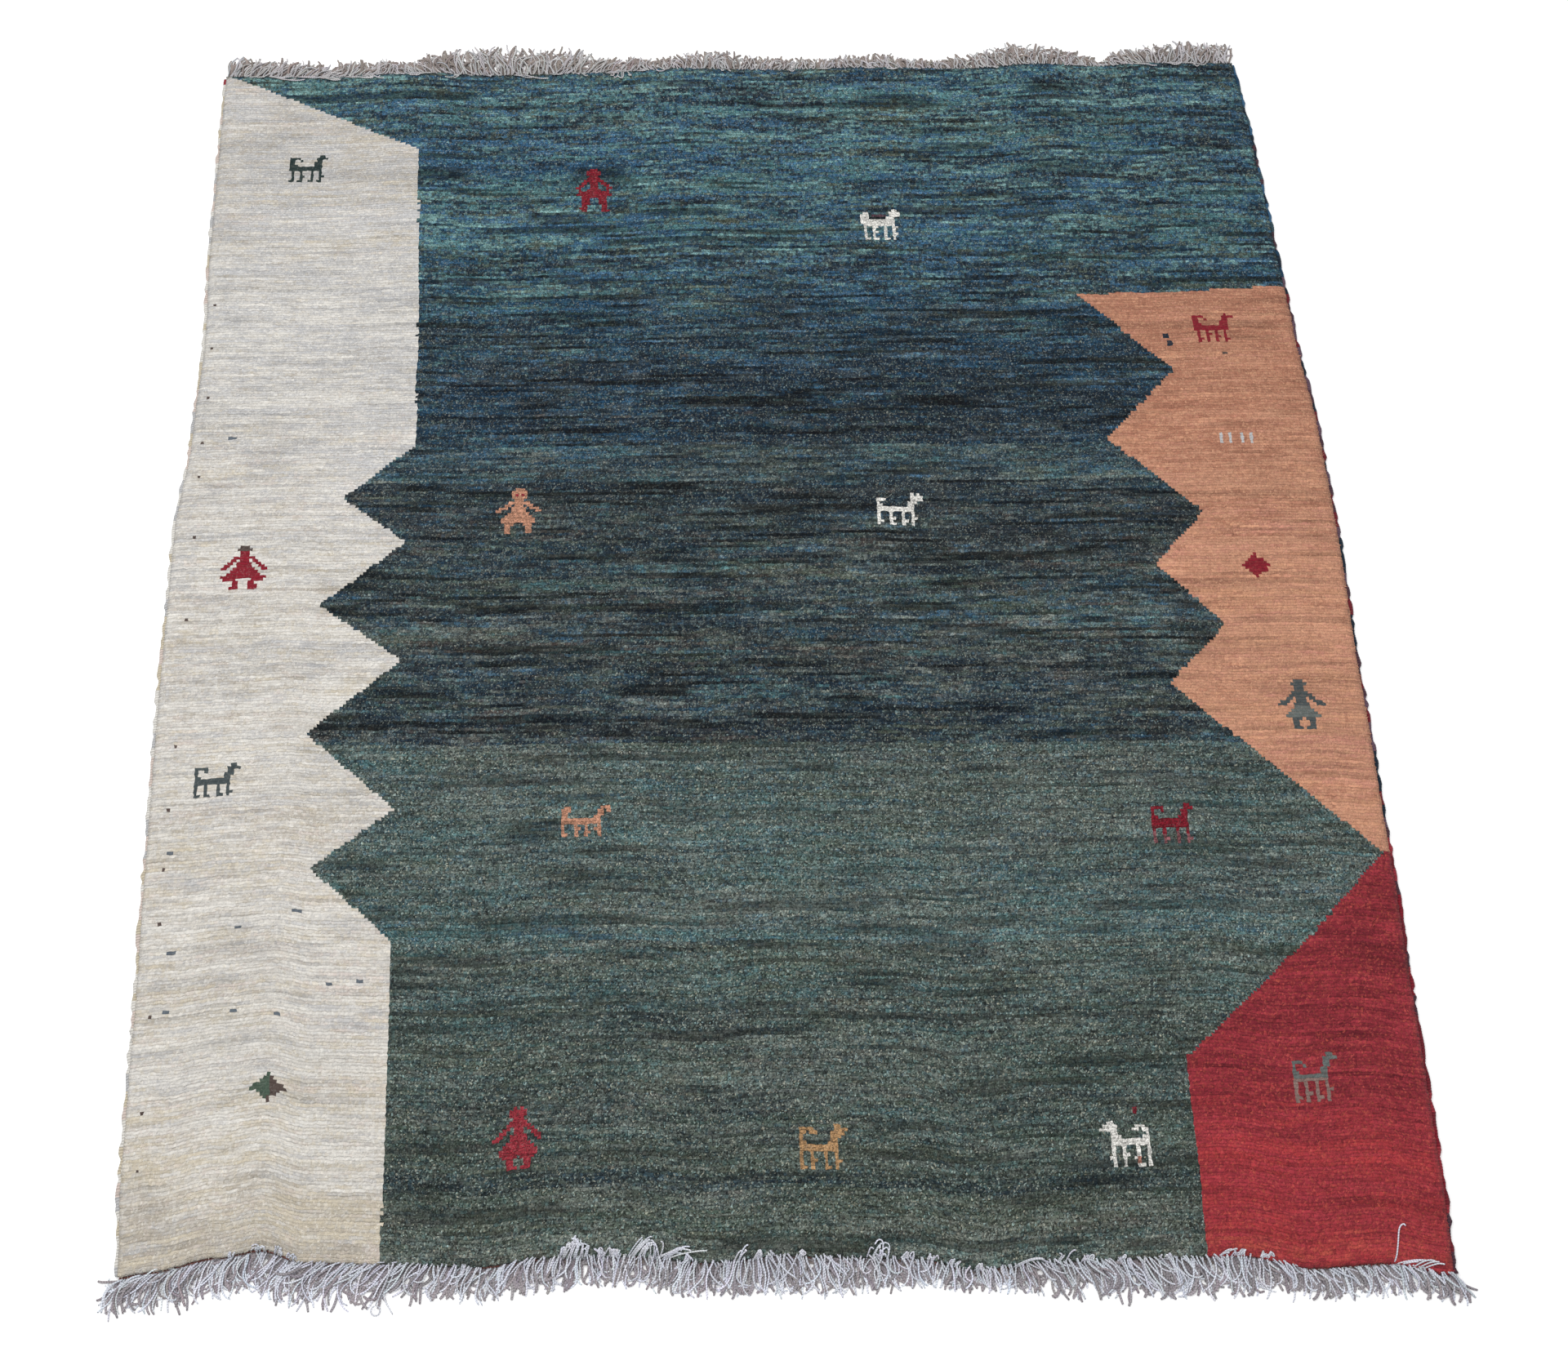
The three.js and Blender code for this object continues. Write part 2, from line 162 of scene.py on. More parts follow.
# How much of each yarn the weaver took, by distance along. Two close rows are a change of dye.
GROUND_MIX = table("along aqua teal blue indigo navy olive moss stone umber charcoal", [
    (0, 1, 8, 0, 0, 2, 26, 10, 36, 8, 9), (40, 0, 8, 0, 1, 4, 27, 12, 29, 8, 11),
    (76, 0, 7, 0, 2, 6, 23, 14, 22, 6, 18), (78, 0, 6, 2, 4, 18, 18, 14, 10, 4, 24),
    (96, 0, 6, 2, 4, 18, 18, 14, 10, 4, 24), (98, 0, 9, 0, 2, 5, 24, 14, 20, 6, 20),
    (366, 1, 14, 1, 3, 4, 20, 12, 26, 5, 14), (368, 5, 29, 9, 4, 1, 11, 8, 26, 3, 4),
    (384, 5, 29, 9, 4, 1, 11, 8, 26, 3, 4), (386, 2, 19, 6, 3, 2, 15, 11, 29, 6, 7),
    (622, 0, 13, 4, 3, 4, 20, 12, 22, 8, 14), (626, 0, 4, 4, 5, 26, 6, 4, 5, 9, 37),
    (700, 0, 5, 4, 4, 26, 8, 4, 6, 10, 33), (760, 0, 7, 5, 4, 17, 11, 6, 12, 13, 25),
    (850, 0, 7, 5, 4, 17, 11, 6, 12, 13, 25), (900, 0, 5, 5, 4, 26, 8, 5, 7, 10, 30),
    (998, 0, 3, 5, 6, 42, 4, 3, 1, 6, 30), (1002, 2, 15, 14, 8, 19, 11, 4, 13, 4, 10),
    (1054, 0, 11, 13, 12, 26, 9, 4, 8, 4, 13), (1058, 0, 1, 4, 14, 66, 1, 2, 0, 2, 10),
    (1180, 0, 2, 6, 16, 62, 1, 2, 0, 2, 9), (1272, 2, 7, 13, 22, 48, 3, 2, 0, 1, 4),
    (1276, 5, 12, 18, 16, 40, 5, 2, 0, 0, 2), (1340, 8, 14, 22, 12, 34, 6, 2, 0, 0, 2),
    (1430, 18, 17, 27, 9, 22, 7, 0, 0, 0, 0), (1520, 13, 17, 26, 9, 28, 7, 0, 0, 0, 0),
    (1600, 14, 17, 26, 8, 26, 8, 0, 0, 0, 0), (1645, 24, 19, 28, 6, 16, 7, 0, 0, 0, 0),
    (1700, 24, 19, 28, 6, 16, 7, 0, 0, 0, 0),
])
CREAM_MIX = table("along cream oat ash blush flax", [
    (0, 0, 32, 10, 4, 54), (40, 12, 40, 10, 6, 32), (110, 62, 22, 8, 6, 2), (300, 70, 12, 12, 6, 0),
    (500, 56, 14, 18, 4, 8), (800, 56, 12, 20, 4, 8), (1000, 52, 4, 40, 2, 2), (1300, 44, 2, 52, 0, 2),
    (1480, 20, 10, 56, 2, 12), (1700, 14, 10, 56, 4, 16),
])
SALMON_MIX = table("along salmon apricot rust rose", [
    (480, 56, 24, 8, 12), (900, 54, 18, 14, 14), (1000, 44, 12, 32, 12), (1100, 18, 6, 68, 8),
    (1306, 12, 4, 76, 8),
])
RED_MIX = table("along crimson scarlet maroon ember", [
    (0, 56, 30, 10, 4), (9, 48, 36, 4, 12), (18, 42, 38, 2, 18), (32, 52, 36, 4, 8),
    (50, 58, 32, 7, 3), (120, 62, 34, 3, 1), (200, 50, 6, 43, 1), (476, 36, 2, 61, 1),
])

# How the ground is blended along the rug: how far a yarn keeps to its own streak, how much single
# knots differ, how deep the dark and the pale streaks are, and how heathered the wool is
GROUND_GRAIN = table("along clumping picking dark pale heather", [
    (0, 1.2, 0.22, 0.42, 0.26, 0.76), (620, 1.1, 0.22, 0.38, 0.26, 0.76),
    (626, 2.1, 0.26, 0.68, 0.66, 0.52), (998, 2.1, 0.26, 0.72, 0.66, 0.46),
    (1002, 1.9, 0.24, 0.56, 0.50, 0.52), (1054, 1.9, 0.24, 0.58, 0.48, 0.48),
    (1058, 2.3, 0.34, 0.76, 0.90, 0.46), (1272, 2.3, 0.36, 0.72, 0.80, 0.46),
    (1340, 2.4, 0.46, 0.66, 0.60, 0.42), (1700, 2.4, 0.52, 0.64, 0.56, 0.54),
])

# The plain fields: mix, clumping and picking as for the ground, and a seed
PLAIN_FIELDS = [
    (CREAM_MIX, 1.6, 0.25, 300), (SALMON_MIX, 1.6, 0.3, 500), (RED_MIX, 1.3, 0.25, 700),
]

# How deep the dark and the pale streaks are, and how much single knots differ in tone, in the
# ground, cream, salmon and red fields. The ground's streaks come from its grain instead.
DARK_STREAKS = np.array([0.0, 0.15, 0.23, 0.21])
PALE_STREAKS = np.array([0.0, 0.05, 0.15, 0.14])
KNOT_TONE = np.array([0.10, 0.028, 0.045, 0.04])

# Share of its colour that the ground keeps under the painted shade of its deep pile, share by which its pale
# streaks are lighter than a plain field's, and how far they turn to stone
GROUND_PILE_SHADE = 0.92
GROUND_LIFT = 0.55
GROUND_STONE = 0.13

# Layers of uneven dye along a row: weight, length of a streak in metres, and its mean rows
DYE_LAYERS = [(0.6, 0.22, 5), (0.7, 0.06, 1.8), (0.8, 0.016, 1.0)]

# The dark and the pale streaks over all fields, with length in metres, and the values of their
# noise at which they start to show and show in full
DARK_STREAK = dict(length=0.11, mean_rows=1.4, seed=44)
PALE_STREAK = dict(length=0.05, mean_rows=1.15, seed=45)
DARK_SHOWS = (0.25, 0.85)
PALE_SHOWS = (0.30, 0.90)

# Cloudy unevenness of the whole rug's tone, with its length in metres
CLOUD = dict(cell=0.11, seed=43)
CLOUD_SHARE = 0.06

# Share of the heather that is lost in a dark streak, and the limits of a knot's linear colour
HEATHER_LOSS = 0.65
COLOUR_LIMITS = (0.004, 0.9)

# How far the fields' edges wander from row to row, in millimetres
RAGGED = 0.5

# Tones of a motif's knots, and how heathered they are
MOTIF_TONES = (0.88, 1.12)
MOTIF_HEATHER = 0.15

# Yarns of the overcast cords, by how far along they end, in metres
LEFT_CORD = [(1.683, ("cream", "ash", "blush", "cream", "oat")), (1.7, ("wine", "maroon", "crimson"))]
RIGHT_CORD = [
    (0.48, ("maroon", "wine", "plum", "crimson", "maroon")),
    (1.31, ("plum", "heath", "navy", "maroon", "heath", "plum")),
    (1.683, ("indigo", "navy", "blue", "ink", "plum")), (1.7, ("scarlet", "crimson", "scarlet")),
]

# Knot charts: a dot leaves the field, X is the motif's first colour and Y its second
GOAT_STOUT = """
...........XX.
XXXX......XXXX
XX..X.....XX..
XX.......XXX..
XXX......XXX..
XXXXXXXXXXXX..
XXXXXXXXXXXX..
.X..X...X..X..
.X..X...X..X..
.X..XX..X..XX.
.X..X...X..X..
XX.XX..XX.XX..
"""
GOAT_BRIDLED = """
...........XX.
.XX.......XXXX
XXX.YYYYY.XXXX
XXX......XXX..
XXXXXXXXXXXX..
XXXXXXXXXXXX..
.XXXXXXXXXXX..
.X..XX..X..XX.
.X..X...X..X..
.X..XX..X..X..
.X..X...X..XX.
.X..X...X..X..
.XX.XX..XX.X..
"""
GOAT_SQUARE = """
...........X..
XXXX......XXXX
XX..X.....XX..
XX.......XXX..
XXX......XXX..
XXXXXXXXXXXX..
XXXXXXXXXXXX..
.X..X..X..X...
.X..XX.X..X...
.X..X..XX.X...
.XX.X..X..XX..
.X..X..X..X...
"""
GOAT_HORNED = """
...........X.X.
...........XXXX
XXX........XXXX
X.........XXX..
XX........XX...
XXXXXXXXXXXX...
XXXXXXXXXXXX...
X...X...X..X...
X...X...X..X...
X...XX..X..XX..
XX..X...XX.X...
X...XX..X..X...
"""
GOAT_SLIM = """
...........XX.
XXXX......XXXX
X..X......XX..
X........XXX..
XX.......XX...
XXXXXXXXXXX...
XXXXXXXXXXX...
X..X...X..X...
X..X...X..X...
X..X...X..XX..
XX.XX..XX.X...
"""
GOAT_LOW = """
.XX.........XXX
XXX........XX.X
XX.........XX..
XX........XX...
XXXXXXXXXXXX...
XXXXXXXXXXXX...
X...X..X...X...
X...XX.X..XX...
X...X..XX..X...
XX..X..X...X...
"""
GOAT_PALE_LEGS = """
..........XX.
XXXX......XXX
X..X.....XX..
X........XX..
XX......XXX..
XXXXXXXXXXX..
XXXXXXXXXXX..
XXXXXXXXXXX..
X..X...X..X..
Y..X...Y..X..
Y..Y...Y..Y..
Y..YY..Y..YY.
Y..Y...Y..Y..
"""
GOAT_TALL = """
..........XX.
.........XXXX
XXX......XX..
X..X.....XX..
X.......XX...
XX......XX...
XXXXXXXXXX...
YYYYYYYYYY...
Y..Y..Y..Y...
Y..Y..Y..Y...
Y..Y..Y..YY..
Y..YY.Y..Y...
YY.Y..YY.Y...
Y..Y..Y..Y...
"""
GOAT_PROUD = """
..........XX..
XXXX......XXXX
XX.XX....XXXX.
X........XXX..
X........XX...
XX......XXX...
XXXXXXXXXXX...
XXXXXXXXXXX...
X..X...X..X...
X..X...X..X...
X..XX..X..XX..
X..X...X..X...
XX.X...XX.X...
"""
GOAT_FACING_LEFT = """
..XX..........
.XXXX.....XXX.
XXXXX....XX.XX
...XX........X
...XXX......XX
...XXXXXXXXXXX
...XXXXXXXXXXX
...X..X...X..X
...X..X...X..X
...X..XX..X..X
..XX..X..XX..X
...X..X...X..X
...X..X...XX.X
"""
FIGURE_TALL = """
.....XXX.....
....XXXXX....
....XXXXX....
.....XXX.....
....XXXXX....
...XXXXXXX...
..XX.XXX.XX..
.XX..XXX..XX.
XX...XXX...XX
.X..XXXXX..X.
.XXXXXXXXXXX.
XXXXXXXXXXXXX
..XXXXXXXXX..
..XXX...XXX..
..XXX...XXX..
..XXX...XXX..
..XX.....XX..
.XXX.....XX..
..XX.....XXX.
"""
FIGURE_WIDE = """
......XXX......
.....XXXXX.....
.....XYXYX.....
.....XXXXX.....
......XXX......
....XXXXXXX....
...XX.XXX.XX...
.XXX.XXXXX.XXX.
XX...XXXXX...XX
....XXXXXXX....
...XXXXXXXXX...
..XXXXXXXXXXX..
..XXXXXXXXXXX..
...XXX...XXX...
...XX.....XX...
...XX.....XX...
...XX.....XX...
"""
FIGURE_HATTED = """
......YYY......
.....YYYYY.....
......XXX......
......XXX......
....XXXXXXX....
...XX.XXX.XX...
..XX.XXXXX.XX..
.XX..XXXXX..XX.
XX..XXXXXXX..XX
...XXXXXXXXX...
..XXXXXXXXXXX..
XXXXXXXXXXXXXXX
.XXXX.....XXXX.
....XX...XX....
....XX...XXX...
...XXX...XXX...
"""
FIGURE_OPEN_ARMS = """
......XXX......
.....XXXXX.....
......XXX......
......XXX......
.....XXXXX.....
....XXXXXXX....
...XX.XXX.XX...
.XXX..XXX..XXX.
XXX..XXXXX..XXX
.....YYYYY.....
....YYYYYYY....
...YYYYYYYYY...
..YYYYYYYYYYY..
....XXX.XXX....
....XX...XX....
....XX...XX....
....XXX.XXX....
"""
FIGURE_SKIRTED = """
......X.X.....
.....XXXXX....
.....XXXXX....
......XXX.....
.....XXXXX....
....XXXXXXX...
...XX.XXX.XX..
..XX..XXX..XX.
.XX..XXXXX..XX
XX...XXXXX...X
....XXXXXXX...
...XXXXXXXXX..
..XXXXXXXXXXX.
..XXXXXXXXXXX.
...XXXX.XXXX..
....XX...XX...
....XX...XX...
....XXX.XXX...
"""
LOZENGE = """
....X....
...XX....
..XXXXX..
.XXXXXXX.
XXXXXXXXX
.XXXXXXX.
..XXXXXX.
...XXX...
....X....
"""
LOZENGE_WIDE = """
.....X.....
....XXY....
...XXXYY...
.XXXXXYYYY.
XXXXXXYYYYY
..XXXXYYY..
...XXXYY...
....XY.....
.....Y.....
"""
KNOT = "X"
DASH = "XXX"
SHORT_DASH = "XX"
MARKS = """
XX.
XX.
...
.XX
.XX
"""
LEG_DASHES = """
X..X...X..X
X..X...X..X
X..X...X..X
X..X...X..X
"""
SPECK = """
X
X
"""

# Motifs: chart, place across and along of its middle in millimetres, first and second yarn
MOTIFS = [
    (GOAT_STOUT, 129, 1526, "pine"), (FIGURE_TALL, 547, 1484, "wine"),
    (GOAT_BRIDLED, 957, 1418, "white", "plum"), (GOAT_SQUARE, 1409, 1238, "wine"),
    (MARKS, 1341, 1219, "navy"), (LEG_DASHES, 1414, 1064, "ash"),
    (SHORT_DASH, 1419, 1196, "umber"), (FIGURE_WIDE, 443, 959, "salmon", "crimson"),
    (GOAT_HORNED, 954, 955, "white"), (FIGURE_HATTED, 80, 876, "wine", "umber"),
    (LOZENGE, 1410, 871, "wine"), (FIGURE_OPEN_ARMS, 1438, 674, "lead", "pewter"),
    (GOAT_SLIM, 69, 577, "lead"), (GOAT_LOW, 530, 524, "salmon"),
    (GOAT_PALE_LEGS, 1257, 519, "wine", "dusk"), (GOAT_TALL, 1384, 208, "pewter", "drab"),
    (LOZENGE_WIDE, 158, 198, "moss", "umber"), (FIGURE_SKIRTED, 449, 139, "crimson"),
    (GOAT_PROUD, 807, 127, "ochre"), (GOAT_FACING_LEFT, 1151, 132, "white"),
    (SPECK, 1166, 169, "maroon"), (SPECK, 1166, 112, "rose"),
    (SHORT_DASH, 18, 481, "slate"), (DASH, 179, 413, "slate"), (SHORT_DASH, 106, 388, "slate"),
    (DASH, 29, 356, "slate"), (SHORT_DASH, 224, 321, "slate"), (SHORT_DASH, 258, 321, "slate"),
    (SHORT_DASH, 30, 285, "slate"), (SHORT_DASH, 108, 285, "slate"),
    (SHORT_DASH, 162, 285, "slate"), (DASH, 51, 1075, "slate"),
]

# Single dark knots in the cream field's outer margin, by distance along
MARGIN = 11
MARGIN_KNOTS = [1290, 1216, 1138, 1067, 1015, 922, 802, 621, 539, 463, 392, 279, 164, 98]
MOTIFS += [(KNOT, MARGIN, along, "umber") for along in MARGIN_KNOTS]


def ease(t):
    """t^2 (3 - 2t), which runs level at 0 and at 1."""
    return t * t * (3 - 2 * t)


def read(rows, column, place, eased=True):
    """A table's value at each place in millimetres: a + (b - a) s(t), where t runs 0 to 1 from
    the row before to the next one, and s(t) is t eased, or plain t."""
    lines, values = list(rows.values())[0], rows[column]
    at = np.clip(np.searchsorted(lines, place, side="right") - 1, 0, len(lines) - 2)
    t = np.clip((place - lines[at]) / (lines[at + 1] - lines[at]), 0, 1)
    share = ease(t) if eased else t
    return values[at] + (values[at + 1] - values[at]) * share


def on_cloth(across, along):
    """Plan place of points of the straight cloth, in metres: x = left(1 - s) + right s + drift,
    y = length (t - 1/2) + near (1 - t)^3 + far t^3, with s = across / width, t = along / length,
    and near and far the waves of the two ends."""
    s, t = across / WIDTH, along / LENGTH
    left = -WIDTH / 2 - MM * read(SIDE_BOW, "left", along / MM)
    right = WIDTH / 2 + MM * read(SIDE_BOW, "right", along / MM)
    near = MM * read(NEAR_WAVE, "drawn", across / MM)
    far = MM * read(FAR_WAVE, "reach", across / MM)
    x = left * (1 - s) + right * s + FAR_END_DRIFT * (t - 0.5)
    return x, LENGTH * (t - 0.5) + near * (1 - t) ** 3 + far * t ** 3


def straight_place(across, along):
    """Where points of the cloth lie on the rug seen as a plain rectangle, in millimetres, without
    the drift of the far end."""
    x, y = on_cloth(across, along)
    drift = FAR_END_DRIFT * (along / LENGTH - 0.5)
    return (x - drift + WIDTH / 2) / MM, (y + LENGTH / 2) / MM


def cloth_place(across, along):
    """The reverse of straight_place, in millimetres: across = 1500 (u + left) / (1500 + left + right),
    along = v - near (1 - t)^3 - far t^3, found in four steps, with the bows at u and v."""
    left, right = read(SIDE_BOW, "left", along), read(SIDE_BOW, "right", along)
    near, far = read(NEAR_WAVE, "drawn", across), read(FAR_WAVE, "reach", across)
    wide, line = WIDTH / MM, along
    for _ in range(4):
        t = line * MM / LENGTH
        line = along - near * (1 - t) ** 3 - far * t ** 3
    return wide * (across + left) / (wide + left + right), line


def frame_shift():
    """How far the cloth's own middle lies from the frame's origin, from the CAD field's box."""
    low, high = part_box("pile_field")
    edge = np.linspace(0, 1, 401)
    x, _ = on_cloth(np.array([[0.0], [WIDTH]]), edge * LENGTH)
    _, y = on_cloth(edge * WIDTH, np.array([[0.0], [LENGTH]]))
    return (low[0] + high[0] - x.min() - x.max()) / 2, (low[1] + high[1] - y.min() - y.max()) / 2


SHIFT = frame_shift()


def on_rug(across, along, height):
    """Place in the frame, as points (..., 3), of points of the straight cloth at a height."""
    x, y = on_cloth(across, along)
    return np.stack([x + SHIFT[0], y + SHIFT[1], np.broadcast_to(height, x.shape)], axis=-1)


def pile_swell(across, along, unevenness):
    """Low swells of the pile: u (0.7 sin(x/97 + y/211) cos(y/83 - x/303) + 0.3 sin(y/61) sin(x/149 + 1)),
    with x and y in millimetres."""
    x, y = (c / MM for c in on_cloth(across, along))
    swell = np.sin(x / 97 + y / 211) * np.cos(y / 83 - x / 303)
    return unevenness * (0.7 * swell + 0.3 * np.sin(y / 61) * np.sin(x / 149 + 1))


def linear(srgb):
    """Linear light of sRGB colours from 0 to 255: ((c + 0.055) / 1.055)^2.4, or c / 12.92 when dark."""
    c = np.asarray(srgb, float) / 255
    return np.where(c > 0.04045, ((c + 0.055) / 1.055) ** 2.4, c / 12.92)


def row_streaks(across, rows, length, mean_rows, seed):
    """Smooth noise along each row, the same over a band of rows: with i the band and k the cell
    of the given length, n = r(i,k)(1 - s) + r(i,k+1) s, with r even in -1 to 1 and s eased."""
    rng = np.random.default_rng(seed)
    band = np.cumsum(rng.random(rows) < 1 / mean_rows)
    lattice = rng.uniform(-1, 1, (band[-1] + 1, int(WIDTH / length) + 4))
    offset = rng.random(band[-1] + 1)[band][:, None]
    place = across[None, :] / length + offset
    cell = place.astype(int)
    s = ease(place - cell)
    line = band[:, None]
    return lattice[line, cell] * (1 - s) + lattice[line, cell + 1] * s


def rising(low, high, value):
    """0 below low, 1 above high, and eased between them."""
    return ease(np.clip((value - low) / (high - low), 0, 1))


def blotches(across, along, cell, seed):
    """Smooth noise in the plane: values r even in -1 to 1 on a square lattice, eased both ways."""
    rng = np.random.default_rng(seed)
    lattice = rng.uniform(-1, 1, (int(LENGTH / cell) + 4, int(WIDTH / cell) + 4))
    x, y = np.broadcast_arrays(across / cell + 1, along / cell + 1)
    i, j = x.astype(int), y.astype(int)
    s, t = ease(x - i), ease(y - j)
    low = lattice[j, i] * (1 - s) + lattice[j, i + 1] * s
    high = lattice[j + 1, i] * (1 - s) + lattice[j + 1, i + 1] * s
    return low * (1 - t) + high * t


def mixed_yarn(mix, across, along, clumping, picking, seed):
    """Colour of each knot of a field woven from several yarns. Yarn i has the weight
    w = share(along) exp(c noise), the noise summed over the dye's layers. A knot's colour is the
    mean m = sum(w colour) / sum(w), and p of the way from there to one yarn picked with the chance
    w / sum(w), with c the clumping and p the picking."""
    names = [n for n in mix if n != "along"]
    colours = np.array([YARNS[n] for n in names], float)
    rows, columns = len(along), len(across)
    weights = np.empty((rows, columns, len(names)))
    for number, name in enumerate(names):
        share = read(mix, name, along / MM, eased=False)[:, None]
        noise = sum(
            weight * row_streaks(across, rows, length, mean_rows, seed + 10 * number + layer)
            for layer, (weight, length, mean_rows) in enumerate(DYE_LAYERS)
        )
        weights[..., number] = (share + 0.01) * np.exp(np.reshape(clumping, (-1, 1)) * noise)
    weights /= weights.sum(axis=-1, keepdims=True)
    rng = np.random.default_rng(seed + 999)
    chance = rng.random((rows, columns, 1))
    pick = np.minimum((chance > np.cumsum(weights, axis=-1)).sum(axis=-1), len(names) - 1)
    mean = weights @ colours
    return linear(mean + np.reshape(picking, (-1, 1, 1)) * (colours[pick] - mean))


def stamp_motif(colours, knot, rng, chart, across, along, *yarns):
    """Lays a knot chart's colours into the field at its middle, each knot a little lighter or darker."""
    cells = np.array([list(line) for line in chart.strip("\n").split("\n")[::-1]])
    across, along = cloth_place(across, along)
    j, i = np.nonzero(cells != ".")
    yarn = linear([YARNS[name] for name in yarns])[(cells[j, i] == "Y").astype(int)]
    row = j + int(round(along * MM / knot - cells.shape[0] / 2))
    column = i + int(round(across * MM / knot - cells.shape[1] / 2))
    colours[row, column, :3] = yarn * rng.uniform(*MOTIF_TONES, (len(j), 1))
    colours[row, column, 3] = MOTIF_HEATHER


def weave_design(knot):
    """The rug's knots: the field number of each (0 ground, 1 cream, 2 salmon, 3 red), and its
    colour with how heathered its wool is."""
    rows, columns = int(round(LENGTH / knot)), int(round(WIDTH / knot))
    across = (np.arange(columns) + 0.5) * knot
    along = (np.arange(rows) + 0.5) * knot
    seen_across, seen_along = straight_place(across[None, :], along[:, None])
    left = read(LEFT_FIELD, "across", seen_along, eased=False)
    right = read(RIGHT_FIELD, "across", seen_along, eased=False)
    rng = np.random.default_rng(41)
    ragged = seen_across + rng.integers(-1, 2, (rows, 1)) * RAGGED
    field = np.zeros((rows, columns), int)
    field[ragged < left] = 1
    field[(ragged > right) & (seen_along >= RED_TOP)] = 2
    field[(ragged > right) & (seen_along < RED_TOP)] = 3
    grain = {name: read(GROUND_GRAIN, name, along / MM, eased=False) for name in GROUND_GRAIN}
    ground_yarn = mixed_yarn(GROUND_MIX, across, along, grain["clumping"], grain["picking"], 100)
    # The ground's yarn is darkened by painted shade of its deep pile
    layers = [ground_yarn * GROUND_PILE_SHADE]
    layers += [mixed_yarn(mix, across, along, *how) for mix, *how in PLAIN_FIELDS]
    colours = np.take_along_axis(np.stack(layers), field[None, ..., None], axis=0)[0]
    dark = rising(*DARK_SHOWS, row_streaks(across, rows, **DARK_STREAK))
    pale = rising(*PALE_SHOWS, row_streaks(across, rows, **PALE_STREAK))
    ground = field == 0
    depth = np.where(ground, grain["dark"][:, None], DARK_STREAKS[field])
    lift = np.where(ground, grain["pale"][:, None], PALE_STREAKS[field])
    cloud = blotches(across[None, :], along[:, None], **CLOUD)
    shade = (1 - depth * dark) * (1 + np.where(ground, GROUND_LIFT, 1.0) * lift * pale)
    shade *= 1 + CLOUD_SHARE * cloud + KNOT_TONE[field] * rng.normal(0, 1, field.shape)
    heather = np.where(ground, grain["heather"][:, None] * (1 - HEATHER_LOSS * dark), 1.0)[..., None]
    colours = colours * shade[..., None]
    stony = (GROUND_STONE * ground * lift * pale)[..., None]
    colours += stony * (linear(YARNS["stone"]) - colours)
    colours = np.concatenate([np.clip(colours, *COLOUR_LIMITS), heather], axis=-1)
    for motif in MOTIFS:
        stamp_motif(colours, knot, rng, *motif)
    return field, colours


def new_piece(name, points, faces, material, yarn, cloth, layout, smooth=True):
    """A mesh object at the origin. yarn is a colour for each face or face corner, cloth and layout
    are UV places for each corner."""
    mesh = bpy.data.meshes.new(name)
    mesh.from_pydata(points.reshape(-1, 3).tolist(), [], faces)
    corners = np.empty(len(mesh.polygons), int)
    mesh.polygons.foreach_get("loop_total", corners)
    colour = yarn if len(yarn) == corners.sum() else np.repeat(yarn, corners, axis=0)
    rgba = np.ones((len(colour), 4), np.float32)
    rgba[:, : colour.shape[1]] = colour
    attribute = mesh.color_attributes.new("yarn", "FLOAT_COLOR", "CORNER")
    attribute.data.foreach_set("color", rgba.ravel())
    for key, places in (("cloth", cloth), ("OFBake", layout)):
        layer = mesh.uv_layers.new(name=key)
        layer.data.foreach_set("uv", np.ascontiguousarray(places, np.float32).ravel())
    mesh.polygons.foreach_set("use_smooth", np.full(len(mesh.polygons), smooth))
    mesh.materials.append(material)
    mesh.update()
    piece = bpy.data.objects.new(name, mesh)
    bpy.context.collection.objects.link(piece)
    return piece


def hand_over(piece, node):
    """The piece rides on the rug's one body and stands for its CAD node."""
    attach(piece, "root")
    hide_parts(node)


def grid_faces(rows, columns):
    """Corner numbers of the cells of a grid with that many points each way, row by row."""
    j, i = np.meshgrid(np.arange(rows - 1), np.arange(columns - 1), indexing="ij")
    first = (j * columns + i).ravel()
    return np.stack([first, first + 1, first + columns + 1, first + columns], axis=1)


def unit(vectors):
    """The vectors at length 1."""
    return vectors / np.maximum(np.linalg.norm(vectors, axis=-1, keepdims=True), 1e-9)


def tubes(lines, wide, tall, sides):
    """Closed tubes round many centre lines at once, lines being (n, k, 3), wide and tall (n, k).
    A ring point is C + wide cos(a) N + tall sin(a) B, with N level and square to the line and
    B = N x T. Returns points, quads, caps, and for each quad its line, ring and side."""
    number, rings = lines.shape[:2]
    tangent = unit(np.gradient(lines, axis=1))
    level = unit(np.cross(tangent, UP) + np.array([1e-6, 0, 0]))
    rise = np.cross(level, tangent)
    angle = 2 * np.pi * np.arange(sides) / sides
    points = (
        lines[:, :, None]
        + (wide[..., None] * np.cos(angle))[..., None] * level[:, :, None]
        + (tall[..., None] * np.sin(angle))[..., None] * rise[:, :, None]
    )
    n, k, a = np.meshgrid(np.arange(number), np.arange(rings - 1), np.arange(sides), indexing="ij")
    b = (a + 1) % sides
    base = (n * rings + k) * sides
    quads = np.stack([base + a, base + b, base + sides + b, base + sides + a], axis=-1).reshape(-1, 4)
    start = (np.arange(number) * rings * sides)[:, None] + np.arange(sides)
    caps = np.concatenate([start[:, ::-1], start + (rings - 1) * sides])
    return points, quads, caps, n.ravel(), k.ravel(), a.ravel()


